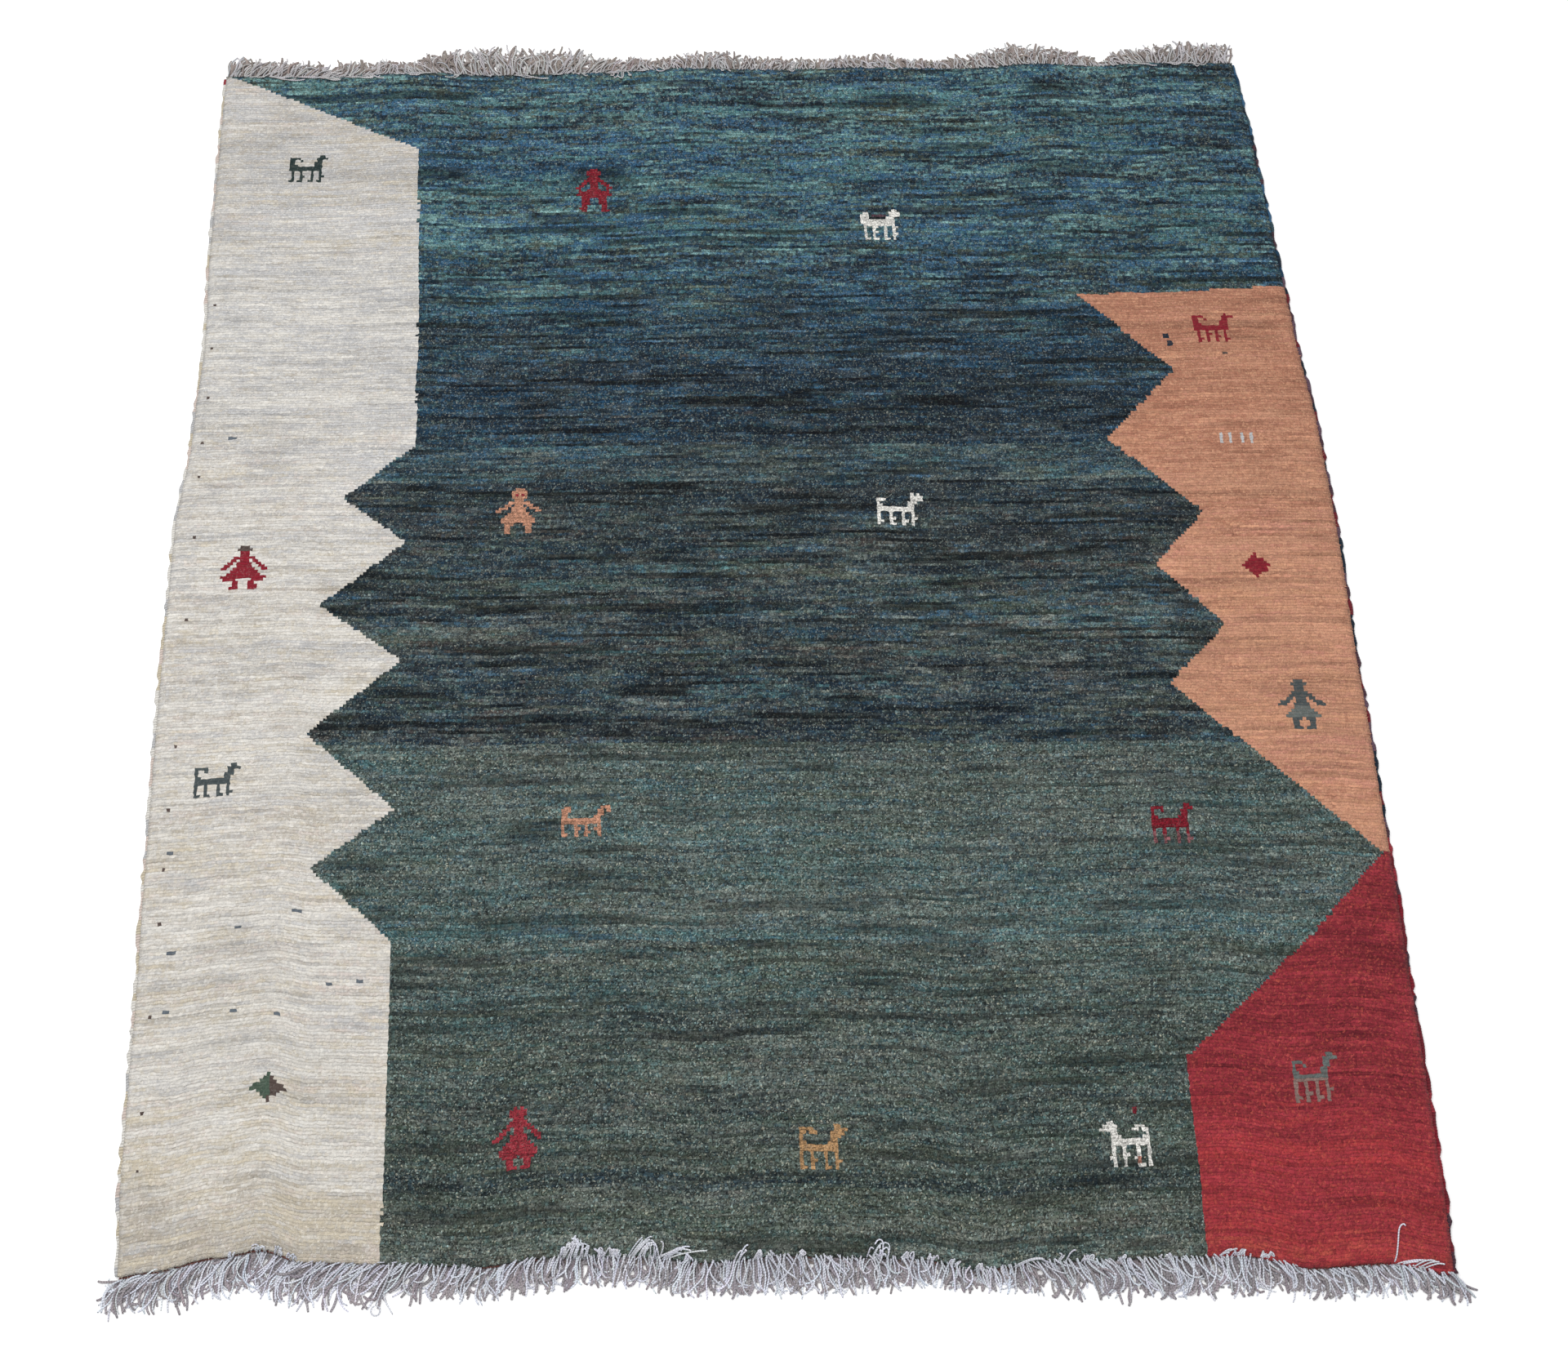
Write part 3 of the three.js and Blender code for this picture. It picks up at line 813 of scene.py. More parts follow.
def tube_piece(name, lines, wide, tall, sides, material, yarn, strips=0):
    """Tubes as one piece, with yarn the colour of each line and ring, (n or 1, k or 1, 3 or 4). Its
    cloth UV is (share of the way round, metres along), and its layout gives each line, or each of a
    line's strips, its own upright band."""
    points, quads, caps, line, ring, side = tubes(lines, wide, tall, sides)
    count, rings = lines.shape[:2]
    step = np.linalg.norm(np.diff(lines, axis=1), axis=2)
    run = np.pad(np.cumsum(step, axis=1), ((0, 0), (1, 0)))
    around = np.stack([side, side + 1, side + 1, side], axis=1)
    along = ring[:, None] + np.array([0, 0, 1, 1])
    cloth = np.stack([around / sides, run[line[:, None], along]], axis=-1)
    if strips:
        per_band = math.ceil((rings - 1) / strips)
        band = ring // per_band
        along = along - (band * per_band)[:, None]
        columns = int(band.max()) + 1
    else:
        per_band, band = rings - 1, line
        columns = math.ceil(math.sqrt(count * 0.4))
    tiers = math.ceil((int(band.max()) + 1) / columns)
    u = (band[:, None] % columns + 0.05 + 0.9 * around / sides) / columns
    v = (band[:, None] // columns + 0.03 + 0.94 * along / per_band) / tiers
    layout = np.stack([u, v], axis=-1)
    yarn = np.broadcast_to(yarn, (count, rings, yarn.shape[-1]))
    cap_yarn = np.concatenate([yarn[:, 0], yarn[:, rings - 2]])
    colours = np.concatenate([np.repeat(yarn[line, ring], 4, axis=0), np.repeat(cap_yarn, sides, axis=0)])
    cap_places = np.zeros((len(caps) * sides, 2))
    return new_piece(
        name, points, quads.tolist() + caps.tolist(), material, colours,
        np.concatenate([cloth.reshape(-1, 2), cap_places]),
        np.concatenate([layout.reshape(-1, 2), cap_places + 0.001]),
    )


# Procedural materials


def add_node(tree, kind, **values):
    """A node with its properties and its sockets' values set, sockets by name or by number as in_0."""
    node = tree.nodes.new(kind)
    for key, value in values.items():
        if key.startswith("in_"):
            socket = key[3:].replace("_", " ")
            target = node.inputs[int(socket)] if socket.isdigit() else node.inputs[socket]
            if isinstance(value, bpy.types.NodeSocket):
                tree.links.new(value, target)
            else:
                target.default_value = value
        else:
            setattr(node, key, value)
    return node


def maths(tree, operation, a, b=0.0, c=0.0):
    """The result of an operation on up to three numbers or sockets."""
    return add_node(tree, "ShaderNodeMath", operation=operation, in_0=a, in_1=b, in_2=c).outputs[0]


def vector_maths(tree, operation, a, b):
    """The result of an operation on two vectors or sockets."""
    return add_node(tree, "ShaderNodeVectorMath", operation=operation, in_0=a, in_1=b).outputs[0]


def eased_range(tree, value, low, high, first=0.0, last=1.0):
    """first below low, last above high, and eased between them."""
    return add_node(
        tree, "ShaderNodeMapRange", interpolation_type="SMOOTHSTEP", in_Value=value,
        in_From_Min=low, in_From_Max=high, in_To_Min=first, in_To_Max=last,
    ).outputs["Result"]


def raise_surface(tree, skin, height, relief):
    """A bump of the given relief in metres where the height goes from 0 to 1."""
    bump = add_node(tree, "ShaderNodeBump", in_Strength=1.0, in_Distance=relief, in_Height=height)
    tree.links.new(bump.outputs[0], skin.inputs["Normal"])


def new_group(name, numbers, results):
    """An empty node group that takes a Place and the named numbers, and gives the named results."""
    group = bpy.data.node_groups.new(name, "ShaderNodeTree")
    group.interface.new_socket("Place", in_out="INPUT", socket_type="NodeSocketVector")
    for label, default in numbers.items():
        socket = group.interface.new_socket(label, in_out="INPUT", socket_type="NodeSocketFloat")
        socket.default_value = default
    for label in results:
        group.interface.new_socket(label, in_out="OUTPUT", socket_type="NodeSocketFloat")
    return group, group.nodes.new("NodeGroupInput").outputs, group.nodes.new("NodeGroupOutput").inputs


def tuft_tips_group():
    """Cut tips of the knots: a warped cell pattern, with each tip's shade and its domed height."""
    group, given, out = new_group(
        "tuft_tips", {"Tip Size": 0.002, "Warp": 0.8}, ("Shade", "Accent", "Hue", "Height"),
    )
    size = add_node(group, "ShaderNodeCombineXYZ", in_X=given["Tip Size"], in_Y=given["Tip Size"], in_Z=1.0)
    scaled = vector_maths(group, "DIVIDE", given["Place"], size.outputs[0])
    noise = add_node(group, "ShaderNodeTexNoise", in_Vector=scaled, in_Scale=0.55, in_Detail=1.0)
    drift = vector_maths(group, "SUBTRACT", noise.outputs["Color"], (0.5, 0.5, 0.5))
    reach = add_node(group, "ShaderNodeVectorMath", operation="SCALE", in_0=drift, in_Scale=given["Warp"])
    place = vector_maths(group, "ADD", scaled, reach.outputs[0])
    cells = add_node(group, "ShaderNodeTexVoronoi", voronoi_dimensions="2D", in_Vector=place, in_Scale=1.0)
    shade, chance, hue = add_node(group, "ShaderNodeSeparateColor", in_Color=cells.outputs["Color"]).outputs
    few = add_node(group, "ShaderNodeMapRange", in_Value=chance, in_From_Min=0.72, in_From_Max=1.0)
    dome = maths(group, "SUBTRACT", 1.0, cells.outputs["Distance"])
    for label, value in (("Shade", shade), ("Accent", few.outputs[0]), ("Hue", hue), ("Height", dome)):
        group.links.new(value, out[label])
    return group


def row_lines_group():
    """Grooves between the rows of knots, wavering along the row: 1 in the groove, 0 on the row."""
    group, given, out = new_group("row_lines", {"Row Height": 0.004, "Waver": 0.003}, ("Line",))
    parts = add_node(group, "ShaderNodeSeparateXYZ", in_Vector=given["Place"])
    stretched = vector_maths(group, "MULTIPLY", given["Place"], (60.0, 160.0, 1.0))
    noise = add_node(group, "ShaderNodeTexNoise", in_Vector=stretched, in_Scale=1.0, in_Detail=2.0)
    drift = maths(group, "MULTIPLY", maths(group, "SUBTRACT", noise.outputs["Fac"], 0.5), given["Waver"])
    rows = maths(group, "DIVIDE", maths(group, "ADD", parts.outputs["Y"], drift), given["Row Height"])
    fold = maths(group, "PINGPONG", rows, 0.5)
    group.links.new(eased_range(group, fold, 0.0, 0.22, 1.0, 0.0), out["Line"])
    return group


def dye_and_shade_streaks_group():
    """Thin streaks along the rows, for uneven dye and for painted shade where the pile parts: smooth noise
    from 0 to 1, long across and short along.
    """
    group, given, out = new_group(
        "dye_and_shade_streaks", {"Length": 0.05, "Height": 0.003, "Low": 0.38, "High": 0.66}, ("Streak",),
    )
    size = add_node(group, "ShaderNodeCombineXYZ", in_X=given["Length"], in_Y=given["Height"], in_Z=1.0)
    scaled = vector_maths(group, "DIVIDE", given["Place"], size.outputs[0])
    noise = add_node(group, "ShaderNodeTexNoise", in_Vector=scaled, in_Scale=1.0, in_Detail=2.0)
    group.links.new(eased_range(group, noise.outputs["Fac"], given["Low"], given["High"]), out["Streak"])
    return group


def plied_yarn_group():
    """Twisted plies of a yarn: height 0 to 1 over strips that wind round it as it runs."""
    group, given, out = new_group("plied_yarn", {"Pitch": 0.006, "Plies": 2.0}, ("Height",))
    parts = add_node(group, "ShaderNodeSeparateXYZ", in_Vector=given["Place"])
    winds = maths(group, "DIVIDE", parts.outputs["Y"], given["Pitch"])
    turns = maths(group, "MULTIPLY", maths(group, "ADD", parts.outputs["X"], winds), given["Plies"])
    wave = maths(group, "SINE", maths(group, "MULTIPLY", turns, 2 * math.pi))
    group.links.new(maths(group, "MULTIPLY_ADD", wave, 0.5, 0.5), out["Height"])
    return group


EFFECTS = {
    "tuft_tips": tuft_tips_group, "row_lines": row_lines_group,
    "dye_and_shade_streaks": dye_and_shade_streaks_group, "plied_yarn": plied_yarn_group,
}


def use_group(tree, name, **values):
    """A shared effect placed in a material with its own values; gives its results."""
    group = bpy.data.node_groups.get(name) or EFFECTS[name]()
    return add_node(tree, "ShaderNodeGroup", node_tree=group, **values).outputs


def shaded(tree, colour, *factors):
    """A colour times each factor."""
    for factor in factors:
        colour = vector_maths(tree, "MULTIPLY", colour, factor)
    return colour


def new_material(name, sheen):
    """A material of dull wool. Returns it with its node tree and its Principled node."""
    material = bpy.data.materials.new(name)
    material.use_nodes = True
    tree = material.node_tree
    skin = tree.nodes["Principled BSDF"]
    skin.inputs["Roughness"].default_value = 0.95
    skin.inputs["Specular IOR Level"].default_value = 0.08
    skin.inputs["Sheen Weight"].default_value = sheen
    skin.inputs["Sheen Roughness"].default_value = 0.6
    return material, tree, skin


def mixed_colour(tree, share, first, second):
    """The first colour, and share of the way to the second. A colour is a socket or sRGB."""
    node = add_node(tree, "ShaderNodeMix", data_type="RGBA", blend_type="MIX")
    tree.links.new(share, node.inputs["Factor"])
    for number, colour in ((6, first), (7, second)):
        if isinstance(colour, bpy.types.NodeSocket):
            tree.links.new(colour, node.inputs[number])
        else:
            node.inputs[number].default_value = (*linear(colour), 1.0)
    return node.outputs[2]


# How each kind of wool surface looks. Tip size and relief are in metres, accents are two sRGB
# colours, and the other numbers are shares: how much the tips differ, how dark the painted shade in the
# grooves between rows is, how much of the tint and of the accents shows, and how dark the painted shade is
# where the pile parts.
GROUND_FINISH = dict(
    tip_size=0.0015, contrast=0.80, groove=0.20, tint=(96, 110, 104), tint_share=0.10,
    accents=((140, 168, 168), (176, 171, 151)), accent_share=0.80, parting_shade=0.45, relief=0.0013,
    sheen=0.025,
)
CREAM_FINISH = dict(
    tip_size=0.0018, contrast=0.10, groove=0.15, tint=(158, 148, 134), tint_share=0.40,
    accents=((222, 222, 218), (226, 218, 204)), accent_share=0.4, parting_shade=0.20, relief=0.0007,
)
SALMON_FINISH = dict(
    tip_size=0.0018, contrast=0.12, groove=0.18, tint=(206, 158, 124), tint_share=0.34,
    accents=((206, 158, 130), (216, 170, 136)), accent_share=0.4, parting_shade=0.20, relief=0.0007,
)
RED_FINISH = dict(
    tip_size=0.0018, contrast=0.24, groove=0.18, tint=(172, 76, 60), tint_share=0.12,
    accents=((176, 82, 78), (196, 98, 70)), accent_share=0.42, parting_shade=0.26, relief=0.0008,
)
KNOT_BACK_FINISH = dict(
    tip_size=0.002, contrast=0.12, groove=0.35, tint=(170, 166, 158), tint_share=0.25,
    accents=((186, 186, 180), (196, 188, 176)), accent_share=0.3, parting_shade=0.1, relief=0.0004,
)
WEB_FINISH = dict(
    tip_size=0.0018, contrast=0.14, groove=0.3, tint=(150, 140, 128), tint_share=0.3,
    accents=((176, 176, 172), (186, 176, 166)), accent_share=0.3, parting_shade=0.2, relief=0.0006,
)


# Uneven dye along the rows, and the places painted with shade where the pile parts, as values for the streaks
# group
DYE = dict(in_Length=0.045, in_Height=0.0024, in_Low=0.45, in_High=0.75)
PARTING_SHADE_PLACES = dict(in_Length=0.075, in_Height=0.0042, in_Low=0.52, in_High=0.72)


def pile_material(
    name, tip_size, contrast, groove, tint, tint_share, accents, accent_share, parting_shade, relief,
    sheen=0.05,
):
    """Cut wool pile: the knots' own yarn colour, lighter and darker by tip with a few tips in an
    accent, tinted by uneven dye, and with painted shade in the grooves between the rows and where
    the pile parts. The alpha of the yarn colour says how much of the tips' unevenness a knot takes."""
    material, tree, skin = new_material(name, sheen)
    place = add_node(tree, "ShaderNodeUVMap", uv_map="cloth").outputs[0]
    wool = add_node(tree, "ShaderNodeAttribute", attribute_name="yarn").outputs
    yarn, heather = wool["Color"], wool["Alpha"]
    tips = use_group(tree, "tuft_tips", in_Place=place, in_Tip_Size=tip_size, in_Warp=0.9)
    lines = use_group(tree, "row_lines", in_Place=place, in_Row_Height=0.004, in_Waver=0.003)
    dye = use_group(tree, "dye_and_shade_streaks", in_Place=place, **DYE)
    # The places where the pile parts, for painted shade
    parting_shade_mask = use_group(tree, "dye_and_shade_streaks", in_Place=place, **PARTING_SHADE_PLACES)
    accent = mixed_colour(tree, tips["Hue"], *accents)
    dyed = maths(tree, "MULTIPLY", maths(tree, "MULTIPLY", dye["Streak"], heather), tint_share)
    some = maths(tree, "MULTIPLY", maths(tree, "MULTIPLY", tips["Accent"], heather), accent_share)
    tipped = mixed_colour(tree, some, mixed_colour(tree, dyed, yarn, tint), accent)
    uneven = maths(tree, "MULTIPLY_ADD", heather, contrast, contrast)
    bright = maths(tree, "MULTIPLY_ADD", maths(tree, "SUBTRACT", tips["Shade"], 0.5), uneven, 1.0)
    # Painted shade in the grooves between the rows
    between = maths(tree, "MULTIPLY_ADD", lines["Line"], -groove, 1.0)
    # Painted shade where the pile parts
    painted_parting_shade = maths(tree, "MULTIPLY_ADD", parting_shade_mask["Streak"], -parting_shade, 1.0)
    tree.links.new(shaded(tree, tipped, bright, between, painted_parting_shade), skin.inputs["Base Color"])
    raise_surface(tree, skin, maths(tree, "MULTIPLY_ADD", lines["Line"], -0.5, tips["Height"]), relief)
    return material


def yarn_material(name, pitch, plies, relief, shade_depth, fuzz):
    """Plied wool yarn: its own colour, with painted shade between the plies, and a fine fuzz of fibres.
    Pitch and relief are in metres, shade depth and fuzz are shares of the colour."""
    material, tree, skin = new_material(name, sheen=0.1)
    place = add_node(tree, "ShaderNodeUVMap", uv_map="cloth").outputs[0]
    yarn = add_node(tree, "ShaderNodeAttribute", attribute_name="yarn").outputs["Color"]
    plied = use_group(tree, "plied_yarn", in_Place=place, in_Pitch=pitch, in_Plies=plies)
    here = add_node(tree, "ShaderNodeTexCoord").outputs["Object"]
    fibres = add_node(tree, "ShaderNodeTexNoise", in_Vector=here, in_Scale=700.0, in_Detail=2.0)
    # Painted shade between the plies
    dark = maths(tree, "MULTIPLY_ADD", plied["Height"], shade_depth, 1 - shade_depth)
    grain = maths(tree, "MULTIPLY_ADD", fibres.outputs["Fac"], 2 * fuzz, 1 - fuzz)
    tree.links.new(shaded(tree, yarn, dark, grain), skin.inputs["Base Color"])
    raise_surface(
        tree, skin, maths(tree, "MULTIPLY_ADD", fibres.outputs["Fac"], 0.3, plied["Height"]), relief,
    )
    return material


def floor_material(name, colour):
    """A dull, even floor."""
    material, _, skin = new_material(name, sheen=0.0)
    skin.inputs["Base Color"].default_value = (*colour, 1.0)
    return material


# Pieces


# Undyed warp as sRGB, how much of it shows between the knot backs, and how many knots each way one
# face of the base covers
WARP = (176, 172, 164)
WARP_SHARE = 0.2
KNOTS_PER_FACE = 3


def foundation_sheet(pile, colours):
    """The woven base with the knot backs: a closed slab from the floor to the base's height, its
    corner points on_rug(across, along) drawn in by the inset, coloured from the knots above."""
    step = KNOTS_PER_FACE
    rows, columns = colours.shape[0] // step, colours.shape[1] // step
    across = np.linspace(pile.base_inset, WIDTH - pile.base_inset, columns + 1)[None, :]
    along = np.linspace(pile.base_inset, LENGTH - pile.base_inset, rows + 1)[:, None]
    across, along = np.broadcast_arrays(across, along)
    under = on_rug(across, along, 0.0)
    over = on_rug(across, along, pile.base_height)
    points = np.concatenate([under.reshape(-1, 3), over.reshape(-1, 3)])
    cells = grid_faces(rows + 1, columns + 1)
    count = (rows + 1) * (columns + 1)
    index = np.arange(count).reshape(rows + 1, columns + 1)
    loop = np.concatenate([index[0, :-1], index[:-1, -1], index[-1, :0:-1], index[:0:-1, 0]])
    after = np.roll(loop, -1)
    walls = np.stack([loop, after, after + count, loop + count], axis=1)
    backs = colours[: rows * step : step, : columns * step : step, :3].reshape(-1, 3)
    backs = backs * (1 - WARP_SHARE) + linear(WARP) * WARP_SHARE
    edge = np.full((len(walls), 3), linear(WARP))
    corner = np.stack([across, along], axis=-1).reshape(-1, 2)
    faces = np.concatenate([cells[:, ::-1], cells + count, walls])
    cloth = corner[faces % count].reshape(-1, 2)
    face_kind = np.repeat([0, 1, 2], [len(cells) * 4, len(cells) * 4, len(walls) * 4])
    quarter = np.array([(0.0, 0.5), (0.0, 0.0), (0.5, 0.0)])[face_kind]
    layout = cloth / max(WIDTH, LENGTH) * 0.48 + quarter
    return points, faces.tolist(), np.concatenate([backs, backs, edge]), cloth, layout


# Lengths over which the rows of knots wander and rise, and the band along the edges in which they
# run straighter, in metres
LONG_WANDER = 0.14
SHORT_WANDER = 0.05
RISE_LENGTH = 0.03
CALM_BAND = 0.03

# Height of the pile's foot as a share of the base's, and the rise by place against that by row
FOOT_HEIGHT = 0.8
PLACE_RISE = 1.5

# Distance along at which the ground is cut into two pieces, at a change of dye
GROUND_CUT = 0.625


def pile_grid(pile, rows, columns, knot):
    """Corner points of all knots, with one more ring for the foot of the pile's edge.
    With d the distance to the nearest edge and b the rim's band, the height is
    top + swell - drop (1 - d/b)^2 within the band, plus a rise by row, by tuft and by place."""
    rng = np.random.default_rng(7)
    i = np.clip(np.arange(-1, columns + 2), 0, columns)
    j = np.clip(np.arange(-1, rows + 2), 0, rows)
    across, along = np.meshgrid(i * knot, j * knot)
    jitter = rng.uniform(-1, 1, (2, *across.shape)) * pile.tuft_jitter
    edge = np.minimum(np.minimum(across, WIDTH - across), np.minimum(along, LENGTH - along))
    inner = np.clip(edge / knot, 0, 1)
    side = np.sign(WIDTH / 2 - across) * (np.minimum(across, WIDTH - across) < knot / 2)
    end = np.sign(LENGTH / 2 - along) * (np.minimum(along, LENGTH - along) < knot / 2)
    foot = np.ones(across.shape, bool)
    foot[1:-1, 1:-1] = False
    inset = np.where(foot, 0.0, pile.rim_inset)
    ragged = pile.tuft_jitter * rng.uniform(-1, 1, across.shape)
    calm = np.clip(edge / CALM_BAND, 0, 1)
    wave = pile.row_waver * calm * blotches(across, along, LONG_WANDER, 9)
    sway = 0.5 * pile.row_waver * calm * blotches(across, along, SHORT_WANDER, 10)
    u = across + jitter[0] * inner + side * (inset + ragged * ~foot) + 0.5 * sway
    v = along + jitter[1] * inner + end * (inset + ragged * ~foot) + wave + sway
    shortfall = np.clip(1 - edge / pile.rim_band, 0, 1) ** 2
    top = pile.top + pile_swell(np.clip(across, 0, WIDTH), np.clip(along, 0, LENGTH), pile.unevenness)
    row_rise = pile.row_rise * rng.normal(0, 1, (len(j), 1))
    tuft_rise = pile.tuft_rise * rng.normal(0, 1, across.shape)
    drift = pile.row_rise * PLACE_RISE * blotches(np.clip(u, 0, WIDTH), np.clip(v, 0, LENGTH), RISE_LENGTH, 8)
    height = top - pile.rim_drop * shortfall + row_rise + tuft_rise + drift
    return on_rug(u, v, np.where(foot, pile.base_height * FOOT_HEIGHT, height)), across, along


def pile_pieces(pile, field, colours, knot, materials):
    """The pile as one piece for each field, cut from one shared grid of knots so that they meet."""
    rows, columns = field.shape
    points, u, v = pile_grid(pile, rows, columns, knot)
    cells = grid_faces(rows + 3, columns + 3)
    kind = np.pad(field, 1, mode="edge")
    yarn = np.pad(colours, ((1, 1), (1, 1), (0, 0)), mode="edge").reshape(-1, 4)
    far = (np.arange(rows + 2) - 1) * knot >= GROUND_CUT
    region = np.where(kind == 0, np.where(far[:, None], 0, 1), kind + 1).ravel()
    flat, across, along = points.reshape(-1, 3), u.ravel(), v.ravel()
    made = []
    for number, (name, material) in enumerate(materials.items()):
        chosen = cells[region == number]
        used, faces = np.unique(chosen, return_inverse=True)
        faces = faces.reshape(chosen.shape)
        cloth = np.stack([across[used], along[used]], axis=-1)[faces].reshape(-1, 2)
        low, high = cloth.min(axis=0), cloth.max(axis=0)
        layout = 0.005 + 0.99 * (cloth - low) / (high - low).max()
        made.append(new_piece(
            name, flat[used], faces.tolist(), material, yarn[region == number], cloth, layout,
        ))
    return made


def side_points(side, along):
    """Points of a side's outline and the way out of the rug from it."""
    across = np.full_like(along, 0.0 if side < 0 else WIDTH)
    return on_rug(across, along, 0.0), np.array([float(side), 0.0, 0.0])


def end_points(end, across):
    """Points of an end's outline and the way out of the rug from it."""
    along = np.full_like(across, 0.0 if end < 0 else LENGTH)
    return on_rug(across, along, 0.0), np.array([0.0, float(end), 0.0])


# Loose rim tips, in millimetres: how far in and how high above the base they start, their lengths,
# and their radius from root to tip
TIP_IN = (1.5, 4.0)
TIP_START = (0.5, 5.5)
TIP_LENGTH = (2.5, 5.5)
TIP_RADIUS = np.array([0.8, 0.75, 0.6, 0.25])

# How far the tips lean sideways and rise, as shares of their run, and their tones
TIP_LEAN = 0.5
TIP_LIFT = (-0.5, 0.9)
TIP_TONES = (0.85, 1.2)


def rim_tufts(pile, colours, knot):
    """Loose tips along the pile's four edges: each leans out as
    C(t) = root + l (t out + lift (t - t^2/2) up), thick at the root and fine at the tip."""
    rng = np.random.default_rng(19)
    spacing = pile.rim_spacing
    edges = (
        (side_points, -1, LENGTH, colours[:, 0]), (side_points, 1, LENGTH, colours[:, -1]),
        (end_points, -1, WIDTH, colours[0]), (end_points, 1, WIDTH, colours[-1]),
    )
    roots, outs, yarns = [], [], []
    for points_of, sign, size, beside in edges:
        places = np.arange(spacing, size, spacing)
        places = np.clip(places + rng.uniform(-0.5, 0.5, len(places)) * spacing, 0.001, None)
        line, out = points_of(sign, places)
        yarns.append(beside[np.clip((places / knot).astype(int), 0, len(beside) - 1)])
        roots.append(line - out * rng.uniform(*TIP_IN, (len(places), 1)) * MM)
        outs.append(np.broadcast_to(out, line.shape))
    root, out = np.concatenate(roots), np.concatenate(outs)
    count = len(root)
    root[:, 2] = pile.base_height + rng.uniform(*TIP_START, count) * MM
    across = np.stack([-out[:, 1], out[:, 0], np.zeros(count)], axis=1)
    lean = unit(out + across * rng.normal(0, TIP_LEAN, (count, 1)))
    length = rng.uniform(*TIP_LENGTH, (count, 1, 1)) * MM
    t = np.linspace(0, 1, len(TIP_RADIUS))[None, :, None]
    lift = rng.uniform(*TIP_LIFT, (count, 1, 1))
    lines = root[:, None] + length * (t * lean[:, None] + lift * (t - t * t / 2) * UP)
    radius = np.broadcast_to(TIP_RADIUS * MM, (count, len(TIP_RADIUS)))
    yarn = np.concatenate(yarns) * rng.uniform(*TIP_TONES, (count, 1))
    return lines, radius, yarn


def selvedge_line(settings, side):
    """An overcast cord's centre line: the side's outline moved out by seam + w/2. Its width w is
    drawn anew at every bulge and runs straight between them."""
    count = int(LENGTH / settings.step)
    along = np.linspace(0, LENGTH, count)
    line, out = side_points(side, along)
    rng = np.random.default_rng(30 + side)
    places = np.arange(0, LENGTH + 0.02, settings.bulge)
    bulge = np.interp(along, places, rng.uniform(-1, 1, len(places)))
    width = settings.width * (1 + settings.unevenness * bulge)
    line = line + out * (settings.seam + width[:, None] / 2)
    line[:, 2] = settings.height / 2
    return line[None], along, width


# Lengths of the cords' segments against their mean, and their tones
SEGMENT_LENGTHS = (0.5, 1.5)
SEGMENT_TONES = (0.9, 1.1)


def selvedge_yarn(zones, along, mean_length, seed):
    """Overcasting yarn by segments of uneven length, each in one of the yarns of its zone. A zone is
    how far along it ends and its yarns."""
    rng = np.random.default_rng(seed)
    ends = np.cumsum(rng.uniform(*SEGMENT_LENGTHS, int(LENGTH / mean_length) + 12) * mean_length)
    segment = np.searchsorted(ends, along)
    start = np.concatenate([[0.0], ends])
    zone = np.searchsorted([end for end, _ in zones[:-1]], start)
    turns = rng.integers(0, 60, len(start))
    picks = [zones[k][1][turn % len(zones[k][1])] for k, turn in zip(zone, turns)]
    colours = linear([YARNS[pick] for pick in picks])
    return colours[segment] * rng.uniform(*SEGMENT_TONES, (len(along), 1))


# Height of a twined row's centre line, as a share of the row's height
ROW_AXIS = 0.56


def end_row_line(settings, end):
    """A twined row's centre line: the end's outline moved out by seam + w/2, a little above the
    middle of its height."""
    across = np.linspace(0, WIDTH, int(WIDTH / settings.step))
    line, out = end_points(end, across)
    line = line + out * (settings.seam + settings.row_width / 2)
    line[:, 2] = settings.row_height * ROW_AXIS
    return line[None], across


# The woven strip's outer edge: how uneven it is, and its height, as shares of the strip's
WEB_UNEVENNESS = 0.2
WEB_EDGE = 0.8


def web_strip(settings, end):
    """The narrow woven strip outside the twined row: a flat bar on the floor, its outer edge uneven.
    Its layout folds the long strip into a few upright bands."""
    count, folds, per_fold, sides = 501, 8, 63, 4
    across = np.linspace(0, WIDTH, count)
    line, out = end_points(end, across)
    rng = np.random.default_rng(60 + end)
    start = settings.seam * 2 + settings.row_width
    ragged = settings.web_width * (1 + WEB_UNEVENNESS * rng.uniform(-1, 1, count))[:, None]
    inner, outer = line + out * start, line + out * (start + ragged)
    high = UP * settings.web_height
    ring = np.stack([inner, inner + high, outer + high * WEB_EDGE, outer], axis=1)
    if end > 0:
        ring = ring[:, ::-1]
    k, a = np.meshgrid(np.arange(count - 1), np.arange(sides), indexing="ij")
    k, a = k.ravel(), a.ravel()
    b = (a + 1) % sides
    faces = np.stack([k * 4 + a, k * 4 + b, k * 4 + 4 + b, k * 4 + 4 + a], axis=1)
    depth = np.stack([a, a + 1, a + 1, a], axis=1)
    place = across[np.stack([k, k, k + 1, k + 1], axis=1)]
    cloth = np.stack([depth * 0.004, place], axis=-1).reshape(-1, 2)
    fold = (k // per_fold)[:, None]
    u = (fold + 0.05 + depth * 0.225) / folds
    v = 0.01 + 0.98 * (place * (count - 1) / WIDTH - fold * per_fold) / (per_fold + 1)
    layout = np.stack([u, v], axis=-1).reshape(-1, 2)
    last = count * 4
    caps = [[3, 2, 1, 0], [last - 4, last - 3, last - 2, last - 1]]
    ends = np.zeros((8, 2))
    return ring, faces.tolist() + caps, np.concatenate([cloth, ends]), np.concatenate([layout, ends])


def corner_share(across, reach):
    """exp(-d / reach), with d the distance to the nearer corner of an end."""
    return np.exp(-np.minimum(across, WIDTH - across) / reach)


